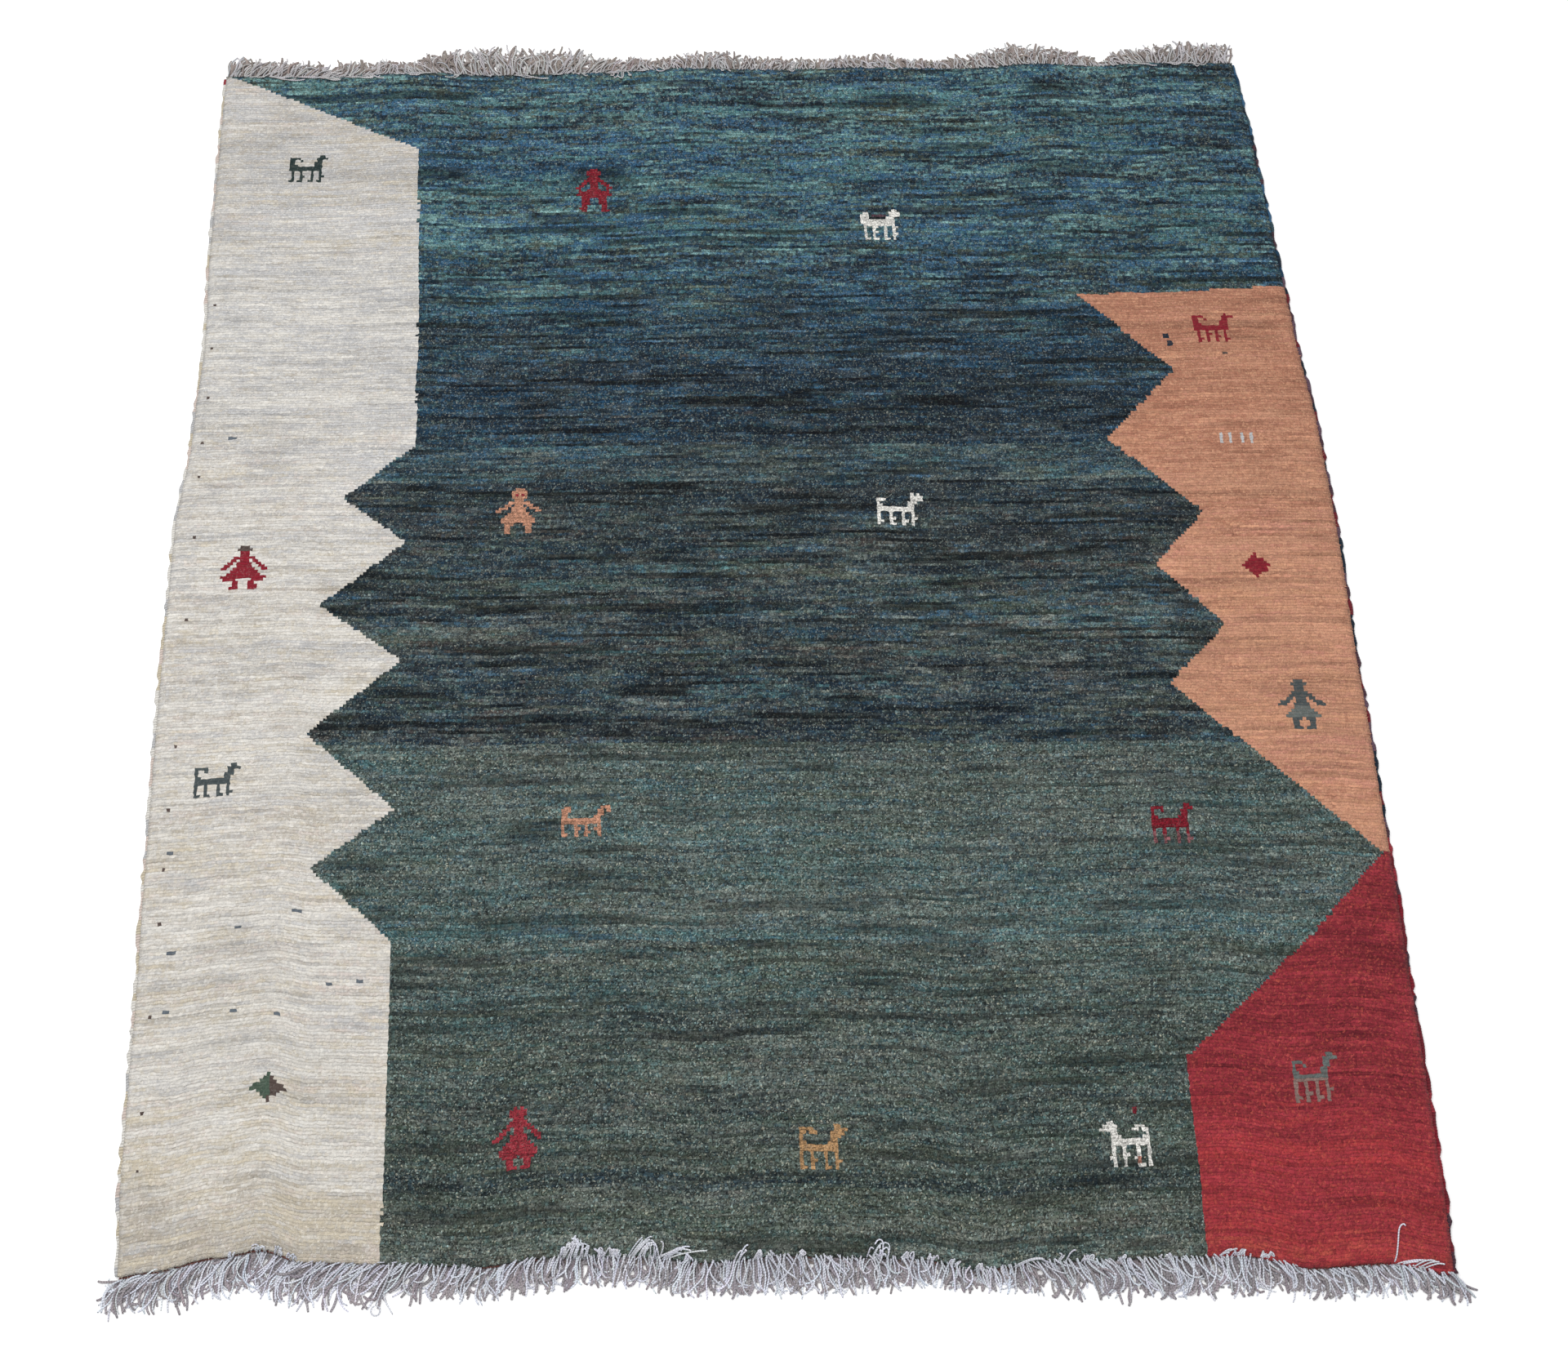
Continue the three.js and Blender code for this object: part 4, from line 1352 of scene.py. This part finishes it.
# Under strands against upper ones: how far they spread and curl, how thick they are, and how high
# their roots lie
UNDER_SPREAD = 2.0
UNDER_CURL = 0.9
UNDER_THICKNESS = 1.5
UNDER_LIFT = 0.5

# Ranges of the under and the upper strands' lengths, as shares of the fringe's
UNDER_LENGTHS = (0.72, 1.02)
UPPER_LENGTHS = (0.6, 1.04)

# How far whole locks turn, in radians, how much they share in the strands' bends, and how much the
# lengths of locks and of strands differ
LOCK_TURN = 0.12
LOCK_BEND = 0.6
LOCK_UNEVENNESS = 0.05
STRAND_UNEVENNESS = 0.08

# Ranges of a strand's waver against the setting, of its waves, and of its radius
WAVER_DEPTHS = (0.3, 1.0)
WAVER_WAVES = (0.6, 1.6)
STRAND_RADII = (0.8, 1.15)

# Share of a strand's length from which it is thinner, and its thickness there
TIP_FROM = 0.9
TIP_THICKNESS = 0.85

# Near a corner of the rug the headings differ less, and the strands bend outwards, in radians. Both
# have their reach in metres.
CORNER_CALM = 0.6
CALM_REACH = 0.02
CORNER_BEND = 0.9
BEND_REACH = 0.03

# Where the twined row shows, the strands start further out by this, in metres
ROW_ROOM = 0.0025

# Layers in which the upper strands lie, and the highest hump of a strand, in millimetres
LAYERS = (0.8, 3.6)
HUMP = 6


def fringe_lines(settings, rows, end, shows, climb, seed):
    """Strands of a fringe, some to each lock, the first of a lock lying under the others. With t
    from root to tip a strand heads h = arctan(slant) + bend (t - 1/3) + curl t^3
    + waver sin(2 pi (n t + p)), and lies at root + length * integral of (sin h, cos h) dt, at the
    height radius + layer (1 - t^2) + lift (1 - t)^2.2 + hump sin(pi t)^2. Where the twined row is
    hidden some strands start further in and higher, by the climb."""
    rng = np.random.default_rng(seed)
    lock = np.repeat(np.arange(settings.locks), settings.strands)
    slot = np.tile(np.arange(settings.strands), settings.locks)
    count, under = len(lock), slot < settings.under_strands
    spacing = (WIDTH - 2 * settings.corner_inset) / (settings.locks - 1)
    bunch = np.where(under, 1.0, settings.bunching)
    root_across = settings.corner_inset + (lock + rng.uniform(-0.5, 0.5, count) * bunch) * spacing
    root_across = np.clip(root_across, 0.001, WIDTH - 0.001)
    spread = np.where(under, UNDER_SPREAD, 1.0) * settings.spread
    heading = np.arctan(read(rows, "slant", root_across / MM))
    calm = 1 - CORNER_CALM * corner_share(root_across, CALM_REACH)
    own = rng.normal(0, LOCK_TURN, settings.locks)[lock] + spread * rng.normal(0, 1, count)
    heading = heading + own * calm
    uneven = 1 + rng.normal(0, LOCK_UNEVENNESS, settings.locks)[lock]
    uneven = uneven + rng.normal(0, STRAND_UNEVENNESS, count)
    uneven = np.where(under, rng.uniform(*UNDER_LENGTHS, count), np.clip(uneven, *UPPER_LENGTHS))
    length = MM * read(rows, "length", root_across / MM) * uneven * settings.droop
    t = np.linspace(0, 1, settings.rings)[None, :]
    corner = corner_share(root_across, BEND_REACH)[:, None]
    lock_bend = rng.normal(0, settings.bend, settings.locks)[lock][:, None] * LOCK_BEND
    bend = lock_bend + rng.normal(0, settings.bend, (count, 1))
    bend = bend - CORNER_BEND * corner * np.sign(root_across - WIDTH / 2)[:, None]
    curl = rng.normal(0, settings.curl, (count, 1)) * (np.where(under, UNDER_CURL, 1.0) * calm)[:, None]
    waver = settings.waver * rng.uniform(*WAVER_DEPTHS, (count, 1)) * np.sin(
        2 * np.pi * (t * rng.uniform(*WAVER_WAVES, (count, 1)) + rng.random((count, 1)))
    )
    head = heading[:, None] + bend * (t - 1 / 3) + curl * t ** 3 + waver
    middle = (head[:, 1:] + head[:, :-1]) / 2
    step = (length / (settings.rings - 1))[:, None]
    sideways = np.pad(np.cumsum(step * np.sin(middle), axis=1), ((0, 0), (1, 0)))
    outwards = np.pad(np.cumsum(step * np.cos(middle), axis=1), ((0, 0), (1, 0)))
    showing = read(ROW_SHOWS, shows, root_across / MM)[:, None]
    perched = (1 - showing) * ~under[:, None] * rng.uniform(0, 1, (count, 1))
    outwards = outwards + settings.root_out + showing * ROW_ROOM - perched * climb
    radius = settings.radius * rng.uniform(*STRAND_RADII, (count, 1))
    radius = radius * np.where(under, UNDER_THICKNESS, 1.0)[:, None]
    layer = np.where(under, 0.0, rng.uniform(*LAYERS, count))[:, None] * MM
    hump = rng.uniform(0, 1, (count, 1)) ** 5 * HUMP * MM * np.sin(np.pi * t) ** 2
    lift = settings.lift * (1 - 0.4 * showing) * np.where(under, UNDER_LIFT, 1.0)[:, None]
    raised = lift + perched * (1.2 * climb + 0.001)
    height = radius + layer * (1 - t ** 2) + raised * (1 - t) ** 2.2 + hump
    base, out = end_points(end, root_across)
    lines = base[:, None] + outwards[..., None] * out
    lines[..., 0] += sideways
    lines[..., 2] = height
    taper = np.where(t > TIP_FROM, TIP_THICKNESS, 1.0)
    return lines, radius * np.broadcast_to(taper, (count, settings.rings)), under, rng


# Tones of single strands, how much their hues differ, and their tone from root to tip, painted shade at the
# root
STRAND_TONES = (0.8, 1.1)
STRAND_HUES = 0.02
ROOT_SHADE_TO_TIP = (0.78, 1.08)


def strand_colours(under, rings, upper, shaded_under, rng):
    """Colour of each strand at each ring: its own tone, with painted shade that deepens towards the
    root and a paler tip. The under strands' darker yarn is painted shade between the strands.
    """
    # The under strands' darker yarn is painted shade between the strands
    tone = np.where(under[:, None], linear(shaded_under), linear(upper))
    tone = tone * rng.uniform(*STRAND_TONES, (len(under), 1))
    tone = tone * (1 + rng.normal(0, STRAND_HUES, (len(under), 3)))
    # Painted shade that deepens towards the root
    return tone[:, None] * np.linspace(*ROOT_SHADE_TO_TIP, rings)[None, :, None]


# Curled strands: rings along each, thickness against a plain strand's, and, in millimetres, where
# they start, how far they rise, and the reach over the pile at which they have fully risen
CURL_RINGS = 16
CURL_THICKNESS = 0.92
CURL_START = 3
CURL_RISE = 11
CURL_RISEN = 8

# How the strands of a bunch differ: ranges of their sizes, leans and turns against their row's, the
# spread of their leans, of their places in metres and of their stops, and the stops' limits
CURL_SIZES = (0.6, 1.1)
CURL_LEANS = (0.7, 1.2)
CURL_TURNS = (0.6, 1.5)
LEAN_SPREAD = 0.22
PLACE_SPREAD = 0.0035
STOP_SPREAD = 0.07
STOP_LIMITS = (0.45, 1.0)


def curl_lines(settings, rows, end, seed):
    """Bunches of strands that arch back onto the pile, with a = pi t stop:
    outwards = start - 1.1 size sin a, sideways = size (lean t + 0.3 sin(2 pi turns t)) + sway t,
    height = start + rise min(1, size sin a / risen)^0.6."""
    rng = np.random.default_rng(seed)
    t = np.linspace(0, 1, CURL_RINGS)[None, :]
    pick = np.repeat(np.arange(len(rows["across"])), rows["count"].astype(int))
    count = len(pick)
    single = (rows["count"][pick] < 2)[:, None]
    size = (rows["size"][pick] * rng.uniform(*CURL_SIZES, count))[:, None] * MM
    size = np.where(single, rows["size"][pick][:, None] * MM, size)
    lean = rows["lean"][pick] * rng.uniform(*CURL_LEANS, count)
    lean = (lean + rng.normal(0, LEAN_SPREAD, count))[:, None]
    turns = (rows["turns"][pick] * rng.uniform(*CURL_TURNS, count))[:, None]
    base, out = end_points(end, rows["across"][pick] * MM + rng.normal(0, PLACE_SPREAD, count))
    stop = np.clip(rows["stop"][pick] + rng.normal(0, STOP_SPREAD, count), *STOP_LIMITS)
    arc = np.pi * t * stop[:, None]
    outwards = CURL_START * MM - size * np.sin(arc) * 1.1
    sway = rng.normal(0, 1.2, (count, 1)) * MM * np.sin(2 * np.pi * (t * 1.3 + rng.random((count, 1))))
    sideways = size * (lean * t + 0.3 * np.sin(2 * np.pi * turns * t)) + sway * t
    lines = base[:, None] + outwards[..., None] * out
    lines[..., 0] += sideways
    rise = np.clip(size * np.sin(arc) / (CURL_RISEN * MM), 0, 1) ** 0.6
    lines[..., 2] = CURL_START * MM + CURL_RISE * MM * rise + rng.uniform(0, 2.0, (count, 1)) * MM * t
    return lines, np.full(lines.shape[:2], settings.radius * CURL_THICKNESS)


def loop_line(settings, across, reach, size, slant, arc):
    """One strand of the near fringe that ends in a loop: a straight run of the given reach and
    slant to the left, then most of a circle with size as its radius and arc its angle."""
    run = np.linspace(0, 1, 6)[:-1]
    a = np.linspace(0, arc, CURL_RINGS - len(run))
    outwards = np.concatenate([reach * run, reach + size * (1 - np.cos(a))])
    sideways = np.concatenate([-slant * reach * run, -slant * reach + size * np.sin(a)])
    base, out = end_points(-1, np.full(CURL_RINGS, across))
    line = base + outwards[:, None] * out
    line[:, 0] += sideways
    line[:, 2] = 9 * MM - 3 * MM * np.linspace(0, 1, CURL_RINGS)
    return line[None], np.full((1, CURL_RINGS), settings.radius * CURL_THICKNESS)


# Settings


def metres(name, default, description):
    """A setting in metres."""
    return FloatProperty(
        name=name, description=description, default=default, subtype="DISTANCE", unit="LENGTH",
    )


def radians(name, default, description):
    """A setting in radians."""
    return FloatProperty(
        name=name, description=description, default=default, subtype="ANGLE", unit="ROTATION",
    )


def plain_number(name, default, description):
    """A setting without a unit."""
    return FloatProperty(name=name, description=description, default=default, min=0.0)


def whole_number(name, default, least, description):
    """A setting that counts something."""
    return IntProperty(name=name, description=description, default=default, min=least)


class PileSettings(bpy.types.PropertyGroup):
    knot: metres("Knot", 0.004, "Width and height of one knot")
    top: metres("Pile top", 0.012, "Mean height of the pile above the floor")
    unevenness: metres("Swells", 0.0008, "Height of the low swells of the pile")
    rim_band: metres("Rim band", 0.009, "Width over which the pile rounds off at its edge")
    rim_drop: metres("Rim drop", 0.0036, "How far the pile falls at its edge")
    rim_inset: metres("Rim inset", -0.0012, "How far the rounded edge stands in from its foot")
    rim_spacing: metres("Loose tips", 0.0017, "Mean distance between loose tips along the edge")
    base_height: metres("Base", 0.0032, "Thickness of the woven base")
    base_inset: metres("Base inset", 0.0012, "How far the base stands in from the outline")
    tuft_jitter: metres("Tuft shift", 0.0008, "Greatest sideways shift of a knot's corner")
    tuft_rise: metres("Tuft rise", 0.0003, "Spread of the tufts' heights")
    row_waver: metres("Row waver", 0.0007, "How far the rows of knots wander")
    row_rise: metres("Row rise", 0.0002, "Spread of the rows' heights")


class SelvedgeSettings(bpy.types.PropertyGroup):
    width: metres("Width", 0.0065, "Width of the overcast cord")
    height: metres("Height", 0.006, "Height of the overcast cord")
    seam: metres("Seam", 0.0003, "Gap between the pile's foot and the cord")
    step: metres("Step", 0.0011, "Distance between two rings of the cord")
    bulge: metres("Bulge", 0.007, "Distance between two bulges of the cord")
    unevenness: plain_number("Unevenness", 0.3, "How much the cord's width varies")
    wrap: metres("Wrap", 0.0034, "Distance from one turn of the overcasting to the next")
    relief: metres("Relief", 0.0004, "How deep the grooves between the turns are")
    segment: metres("Segment", 0.016, "Mean length overcast in one yarn")


class FringeSettings(bpy.types.PropertyGroup):
    locks: whole_number("Locks", 148, 2, "Locks in each fringe")
    strands: whole_number("Strands", 10, 1, "Strands in each lock")
    under_strands: whole_number("Under strands", 6, 0, "Strands of a lock that lie under the others")
    rings: whole_number("Rings", 10, 4, "Rings along each strand")
    radius: metres("Radius", 0.001, "Radius of a strand")
    corner_inset: metres("Corner inset", 0.004, "How far the outer locks stand in from the corners")
    spread: radians("Spread", 0.24, "Spread of the strands' headings")
    waver: radians("Waver", 0.40, "How far a strand's heading wavers")
    bend: radians("Bend", 0.5, "Spread of how far the strands turn along their length")
    curl: radians("Curl", 1.7, "Spread of how far the tips turn")
    bunching: plain_number("Bunching", 0.8, "Width of a bunch as a share of the space between locks")
    droop: plain_number("Droop", 0.95, "Share of a strand's length that shows from above")
    lift: metres("Lift", 0.0038, "Height of the roots above the floor")
    root_out: metres("Root", 0.0010, "How far outside the outline the strands start")
    seam: metres("Seam", 0.0003, "Gap between the pile's foot and the twined row")
    step: metres("Step", 0.0014, "Distance between two rings of the twined row")
    row_width: metres("Row width", 0.003, "Width of the twined row")
    row_height: metres("Row height", 0.0036, "Height of the twined row")
    row_twist: metres("Row twist", 0.004, "Distance from one swell of the twined row to the next")
    web_width: metres("Web width", 0.005, "Width of the woven strip")
    web_height: metres("Web height", 0.0028, "Thickness of the woven strip")


class StageSettings(bpy.types.PropertyGroup):
    camera: FloatVectorProperty(
        name="Camera", description="Place of the camera", default=(-0.082, -1.003, 2.089),
        subtype="XYZ", unit="LENGTH",
    )
    pitch: radians("Pitch", math.radians(67.45), "How far the camera looks down")
    yaw: radians("Yaw", math.radians(-2.33), "How far the camera turns from the rug's length")
    roll: radians("Roll", math.radians(-2.45), "How far the camera tips sideways")
    lens: plain_number("Lens", 40.3, "Focal length in millimetres on a 36 mm frame")
    shift: plain_number("Shift", 0.0729, "Sideways shift of the lens, as a share of the width")
    key: plain_number("Key light", 128.0, "Power of the large soft light in watts")
    key_place: FloatVectorProperty(
        name="Key place", description="Place of the large soft light", default=(-0.6, 0.1, 3.2),
        subtype="XYZ", unit="LENGTH",
    )
    key_size: metres("Key size", 3.5, "Width of the large soft light")
    fill: plain_number("Fill", 0.46, "Strength of the even light from all round")
    floor: FloatVectorProperty(
        name="Floor", description="Colour of the floor", default=(0.97, 0.97, 0.97), subtype="COLOR",
    )
    floor_size: metres("Floor size", 30.0, "Width of the floor")


DESIGN = {}


def design(knot):
    """The knots' fields and colours, worked out once and shared by the pieces."""
    if "colours" not in DESIGN:
        DESIGN["field"], DESIGN["colours"] = weave_design(knot)
    return DESIGN["field"], DESIGN["colours"]


# How each yarn is twisted: pitch and relief in metres, depth of the painted shade between the plies and fuzz
# as shares
RIM_YARN = dict(pitch=0.004, plies=2.0, relief=0.0001, shade_depth=0.1, fuzz=0.15)
CORD_YARN = dict(pitch=0.0034, plies=1.0, relief=0.0003, shade_depth=0.35, fuzz=0.12)
TWINED_YARN = dict(pitch=0.008, plies=2.0, relief=0.0003, shade_depth=0.4, fuzz=0.12)
WARP_YARN = dict(pitch=0.006, plies=2.0, relief=0.0004, shade_depth=0.28, fuzz=0.08)

# The cords: side, name, CAD node, zones of yarn, seed
CORDS = (
    (-1, "cord_left", "selvedge_left", LEFT_CORD, 3), (1, "cord_right", "selvedge_right", RIGHT_CORD, 4),
)

# The twined rows' wool as sRGB, and the pale stitches in the near one: their wool, where they start
# and stop, and how far apart and how long they are, in metres
TWINED = (132, 88, 82)
STITCH = (214, 210, 204)
STITCH_RUN = (1.335, 1.45)
STITCH_SPACING = 0.007
STITCH_LENGTH = 0.003

# How much the twined rows swell with each twist, and the tones of their wool
TWINED_SWELL = 0.12
TWINED_TONES = (0.85, 1.15)

# The fringes: end, name, rows, how far strands climb onto the pile, seed, upper yarn, and under yarn darkened
# as painted shade between the strands
FRINGES = (
    (-1, "near", NEAR_FRINGE, 0.003, 21, (232, 235, 246), (162, 155, 160)),
    (1, "far", FAR_FRINGE, 0.005, 22, (210, 208, 210), (156, 145, 140)),
)

# Their curled strands: end, name, rows, seed, yarn
CURLS = (
    (-1, "near", NEAR_CURLS, 23, (222, 224, 234)), (1, "far", FAR_CURLS, 25, (196, 194, 196)),
)

# The near fringe's loop, and the woven strips' own wool darkened with painted shade of the strands over it
LOOP = dict(across=0.312, reach=0.045, size=0.0055, slant=0.4, arc=1.9 * np.pi)
SHADED_WEB_WOOL = (124, 114, 110)

# Sides of the tubes, and strips into which a long one's layout is cut
TIP_SIDES = 3
CORD_SIDES = 10
ROW_SIDES = 8
STRAND_SIDES = 5
STRIPS = 16


# Operators


class RUG_OT_foundation(bpy.types.Operator):
    """Build the woven base, whose underside shows the knot backs"""
    bl_idname = "rug.foundation"
    bl_label = "Foundation"

    def execute(self, context):
        pile = context.scene.rug_pile
        _, colours = design(pile.knot)
        material = pile_material("knot_backs", **KNOT_BACK_FINISH)
        points, faces, yarn, cloth, layout = foundation_sheet(pile, colours)
        sheet = new_piece("foundation", points, faces, material, yarn, cloth, layout)
        hand_over(sheet, "pile_field")
        return {"FINISHED"}


class RUG_OT_pile(bpy.types.Operator):
    """Build the cut pile, one piece for each field of the design"""
    bl_idname = "rug.pile"
    bl_label = "Pile"

    def execute(self, context):
        pile = context.scene.rug_pile
        field, colours = design(pile.knot)
        materials = {
            "pile_ground_far": pile_material("wool_ground_far", **GROUND_FINISH),
            "pile_ground_near": pile_material("wool_ground_near", **GROUND_FINISH),
            "pile_cream": pile_material("wool_cream", **CREAM_FINISH),
            "pile_salmon": pile_material("wool_salmon", **SALMON_FINISH),
            "pile_red": pile_material("wool_red", **RED_FINISH),
        }
        for piece in pile_pieces(pile, field, colours, pile.knot, materials):
            hand_over(piece, "pile_field")
        return {"FINISHED"}


class RUG_OT_rim(bpy.types.Operator):
    """Build the loose tips along the pile's edges"""
    bl_idname = "rug.rim"
    bl_label = "Loose rim tips"

    def execute(self, context):
        pile = context.scene.rug_pile
        _, colours = design(pile.knot)
        material = yarn_material("wool_rim", **RIM_YARN)
        lines, radius, yarn = rim_tufts(pile, colours, pile.knot)
        piece = tube_piece("pile_rim_tips", lines, radius, radius, TIP_SIDES, material, yarn[:, None])
        hand_over(piece, "pile_field")
        return {"FINISHED"}


class RUG_OT_selvedges(bpy.types.Operator):
    """Build the overcast cord of each side"""
    bl_idname = "rug.selvedges"
    bl_label = "Selvedges"

    def execute(self, context):
        settings = context.scene.rug_selvedge
        material = yarn_material("selvedge_wool", **CORD_YARN)
        for side, name, node, zones, seed in CORDS:
            line, along, width = selvedge_line(settings, side)
            groove = settings.relief * np.abs(np.sin(np.pi * along / settings.wrap))
            colours = selvedge_yarn(zones, along, settings.segment, seed)
            wide = (width / 2 - settings.relief + groove)[None]
            tall = (settings.height / 2 - settings.relief + groove)[None]
            piece = tube_piece(name, line, wide, tall, CORD_SIDES, material, colours[None], STRIPS)
            hand_over(piece, node)
        return {"FINISHED"}


class RUG_OT_end_rows(bpy.types.Operator):
    """Build the twined row across each end"""
    bl_idname = "rug.end_rows"
    bl_label = "Twined rows"

    def execute(self, context):
        settings = context.scene.rug_fringe
        material = yarn_material("twined_wool", **TWINED_YARN)
        for end, name, node in ((-1, "twined_near", "end_row_near"), (1, "twined_far", "end_row_far")):
            line, across = end_row_line(settings, end)
            rng = np.random.default_rng(80 + end)
            twist = 1 + TWINED_SWELL * np.sin(2 * np.pi * across / settings.row_twist)[None]
            colours = linear([TWINED]) * np.ones((len(across), 1))
            if end < 0:
                inside = (across > STITCH_RUN[0]) & (across < STITCH_RUN[1])
                colours[inside & (across % STITCH_SPACING < STITCH_LENGTH)] = linear(STITCH)
            colours *= rng.uniform(*TWINED_TONES, (len(across), 1))
            wide, tall = settings.row_width / 2 * twist, settings.row_height / 2 * twist
            piece = tube_piece(name, line, wide, tall, ROW_SIDES, material, colours[None], STRIPS)
            hand_over(piece, node)
        return {"FINISHED"}


class RUG_OT_fringes(bpy.types.Operator):
    """Build the woven strip and the warp strands of each end"""
    bl_idname = "rug.fringes"
    bl_label = "Fringes"

    def execute(self, context):
        settings = context.scene.rug_fringe
        yarn = yarn_material("warp_yarn", **WARP_YARN)
        weave = pile_material("warp_weave", **WEB_FINISH)
        for end, side, rows, climb, seed, upper, shaded_under in FRINGES:
            lines, radius, under, rng = fringe_lines(settings, rows, end, side, climb, seed)
            colours = strand_colours(under, settings.rings, upper, shaded_under, rng)
            strands = tube_piece(f"strands_{side}", lines, radius, radius, STRAND_SIDES, yarn, colours)
            hand_over(strands, f"fringe_{side}")
            ring, faces, cloth, layout = web_strip(settings, end)
            # The woven strip's wool, darkened with painted shade of the strands
            tone = np.ones((len(faces), 1)) * linear(SHADED_WEB_WOOL)
            web = new_piece(f"web_{side}", ring, faces, weave, tone, cloth, layout, smooth=False)
            hand_over(web, f"fringe_{side}")
        loop, loop_radius = loop_line(settings, **LOOP)
        for end, side, rows, seed, tone in CURLS:
            lines, radius = curl_lines(settings, rows, end, seed)
            if end < 0:
                lines, radius = np.concatenate([lines, loop]), np.concatenate([radius, loop_radius])
            plain = np.zeros(len(lines), bool)
            colours = strand_colours(plain, CURL_RINGS, tone, tone, np.random.default_rng(seed + 1))
            curls = tube_piece(f"curls_{side}", lines, radius, radius, STRAND_SIDES, yarn, colours)
            hand_over(curls, f"fringe_{side}")
        return {"FINISHED"}


class RUG_OT_stage(bpy.types.Operator):
    """Set the floor, the camera and the lights"""
    bl_idname = "rug.stage"
    bl_label = "Stage"

    def execute(self, context):
        stage = context.scene.rug_stage
        bpy.ops.mesh.primitive_plane_add(size=stage.floor_size, location=(0.0, 0.0, 0.0))
        floor = context.object
        floor.name = "floor"
        floor.data.materials.append(floor_material("floor", stage.floor))
        light = bpy.data.lights.new("key", "AREA")
        light.shape, light.size, light.energy = "SQUARE", stage.key_size, stage.key
        key = bpy.data.objects.new("key", light)
        key.location = stage.key_place
        key.rotation_euler = Vector(key.location).to_track_quat("Z", "Y").to_euler()
        world = bpy.data.worlds.new("studio")
        world.use_nodes = True
        background = world.node_tree.nodes["Background"]
        background.inputs["Color"].default_value = (1.0, 1.0, 1.0, 1.0)
        background.inputs["Strength"].default_value = stage.fill
        context.scene.world = world
        camera_data = bpy.data.cameras.new("camera")
        camera_data.sensor_width, camera_data.lens = 36.0, stage.lens
        camera_data.shift_x = stage.shift
        camera_data.dof.use_dof = False
        camera = bpy.data.objects.new("camera", camera_data)
        p, w, r = stage.pitch, stage.yaw, stage.roll
        forward = Vector((math.sin(w) * math.cos(p), math.cos(w) * math.cos(p), -math.sin(p)))
        right = Vector((math.cos(w), -math.sin(w), 0.0))
        up = right.cross(forward)
        tipped = right * math.cos(r) + up * math.sin(r)
        raised = up * math.cos(r) - right * math.sin(r)
        turned = Matrix((tipped, raised, -forward)).transposed().to_4x4()
        camera.matrix_world = Matrix.Translation(stage.camera) @ turned
        for thing in (key, camera):
            context.collection.objects.link(thing)
        context.scene.camera = camera
        context.scene.view_settings.view_transform = "Standard"
        context.scene.view_settings.look = "None"
        return {"FINISHED"}


class RUG_PT_panel(bpy.types.Panel):
    """The rug's pieces, in the order in which they are built"""
    bl_label = "Gabbeh rug"
    bl_idname = "RUG_PT_panel"
    bl_space_type = "VIEW_3D"
    bl_region_type = "UI"
    bl_category = "Rug"

    def draw(self, context):
        for operator in OPERATORS:
            self.layout.operator(operator.bl_idname)


OPERATORS = (
    RUG_OT_foundation, RUG_OT_pile, RUG_OT_rim, RUG_OT_selvedges, RUG_OT_end_rows, RUG_OT_fringes,
    RUG_OT_stage,
)
SETTINGS = {
    "rug_pile": PileSettings, "rug_selvedge": SelvedgeSettings, "rug_fringe": FringeSettings,
    "rug_stage": StageSettings,
}


def register():
    for kind in (*SETTINGS.values(), *OPERATORS, RUG_PT_panel):
        bpy.utils.register_class(kind)
    for name, kind in SETTINGS.items():
        setattr(bpy.types.Scene, name, PointerProperty(type=kind))


def unregister():
    for name in SETTINGS:
        delattr(bpy.types.Scene, name)
    for kind in (RUG_PT_panel, *reversed(OPERATORS), *reversed(list(SETTINGS.values()))):
        bpy.utils.unregister_class(kind)


def main():
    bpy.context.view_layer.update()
    register()
    bpy.ops.rug.foundation()
    bpy.ops.rug.pile()
    bpy.ops.rug.rim()
    bpy.ops.rug.selvedges()
    bpy.ops.rug.end_rows()
    bpy.ops.rug.fringes()
    bpy.ops.rug.stage()


if __name__ == "__main__":
    main()
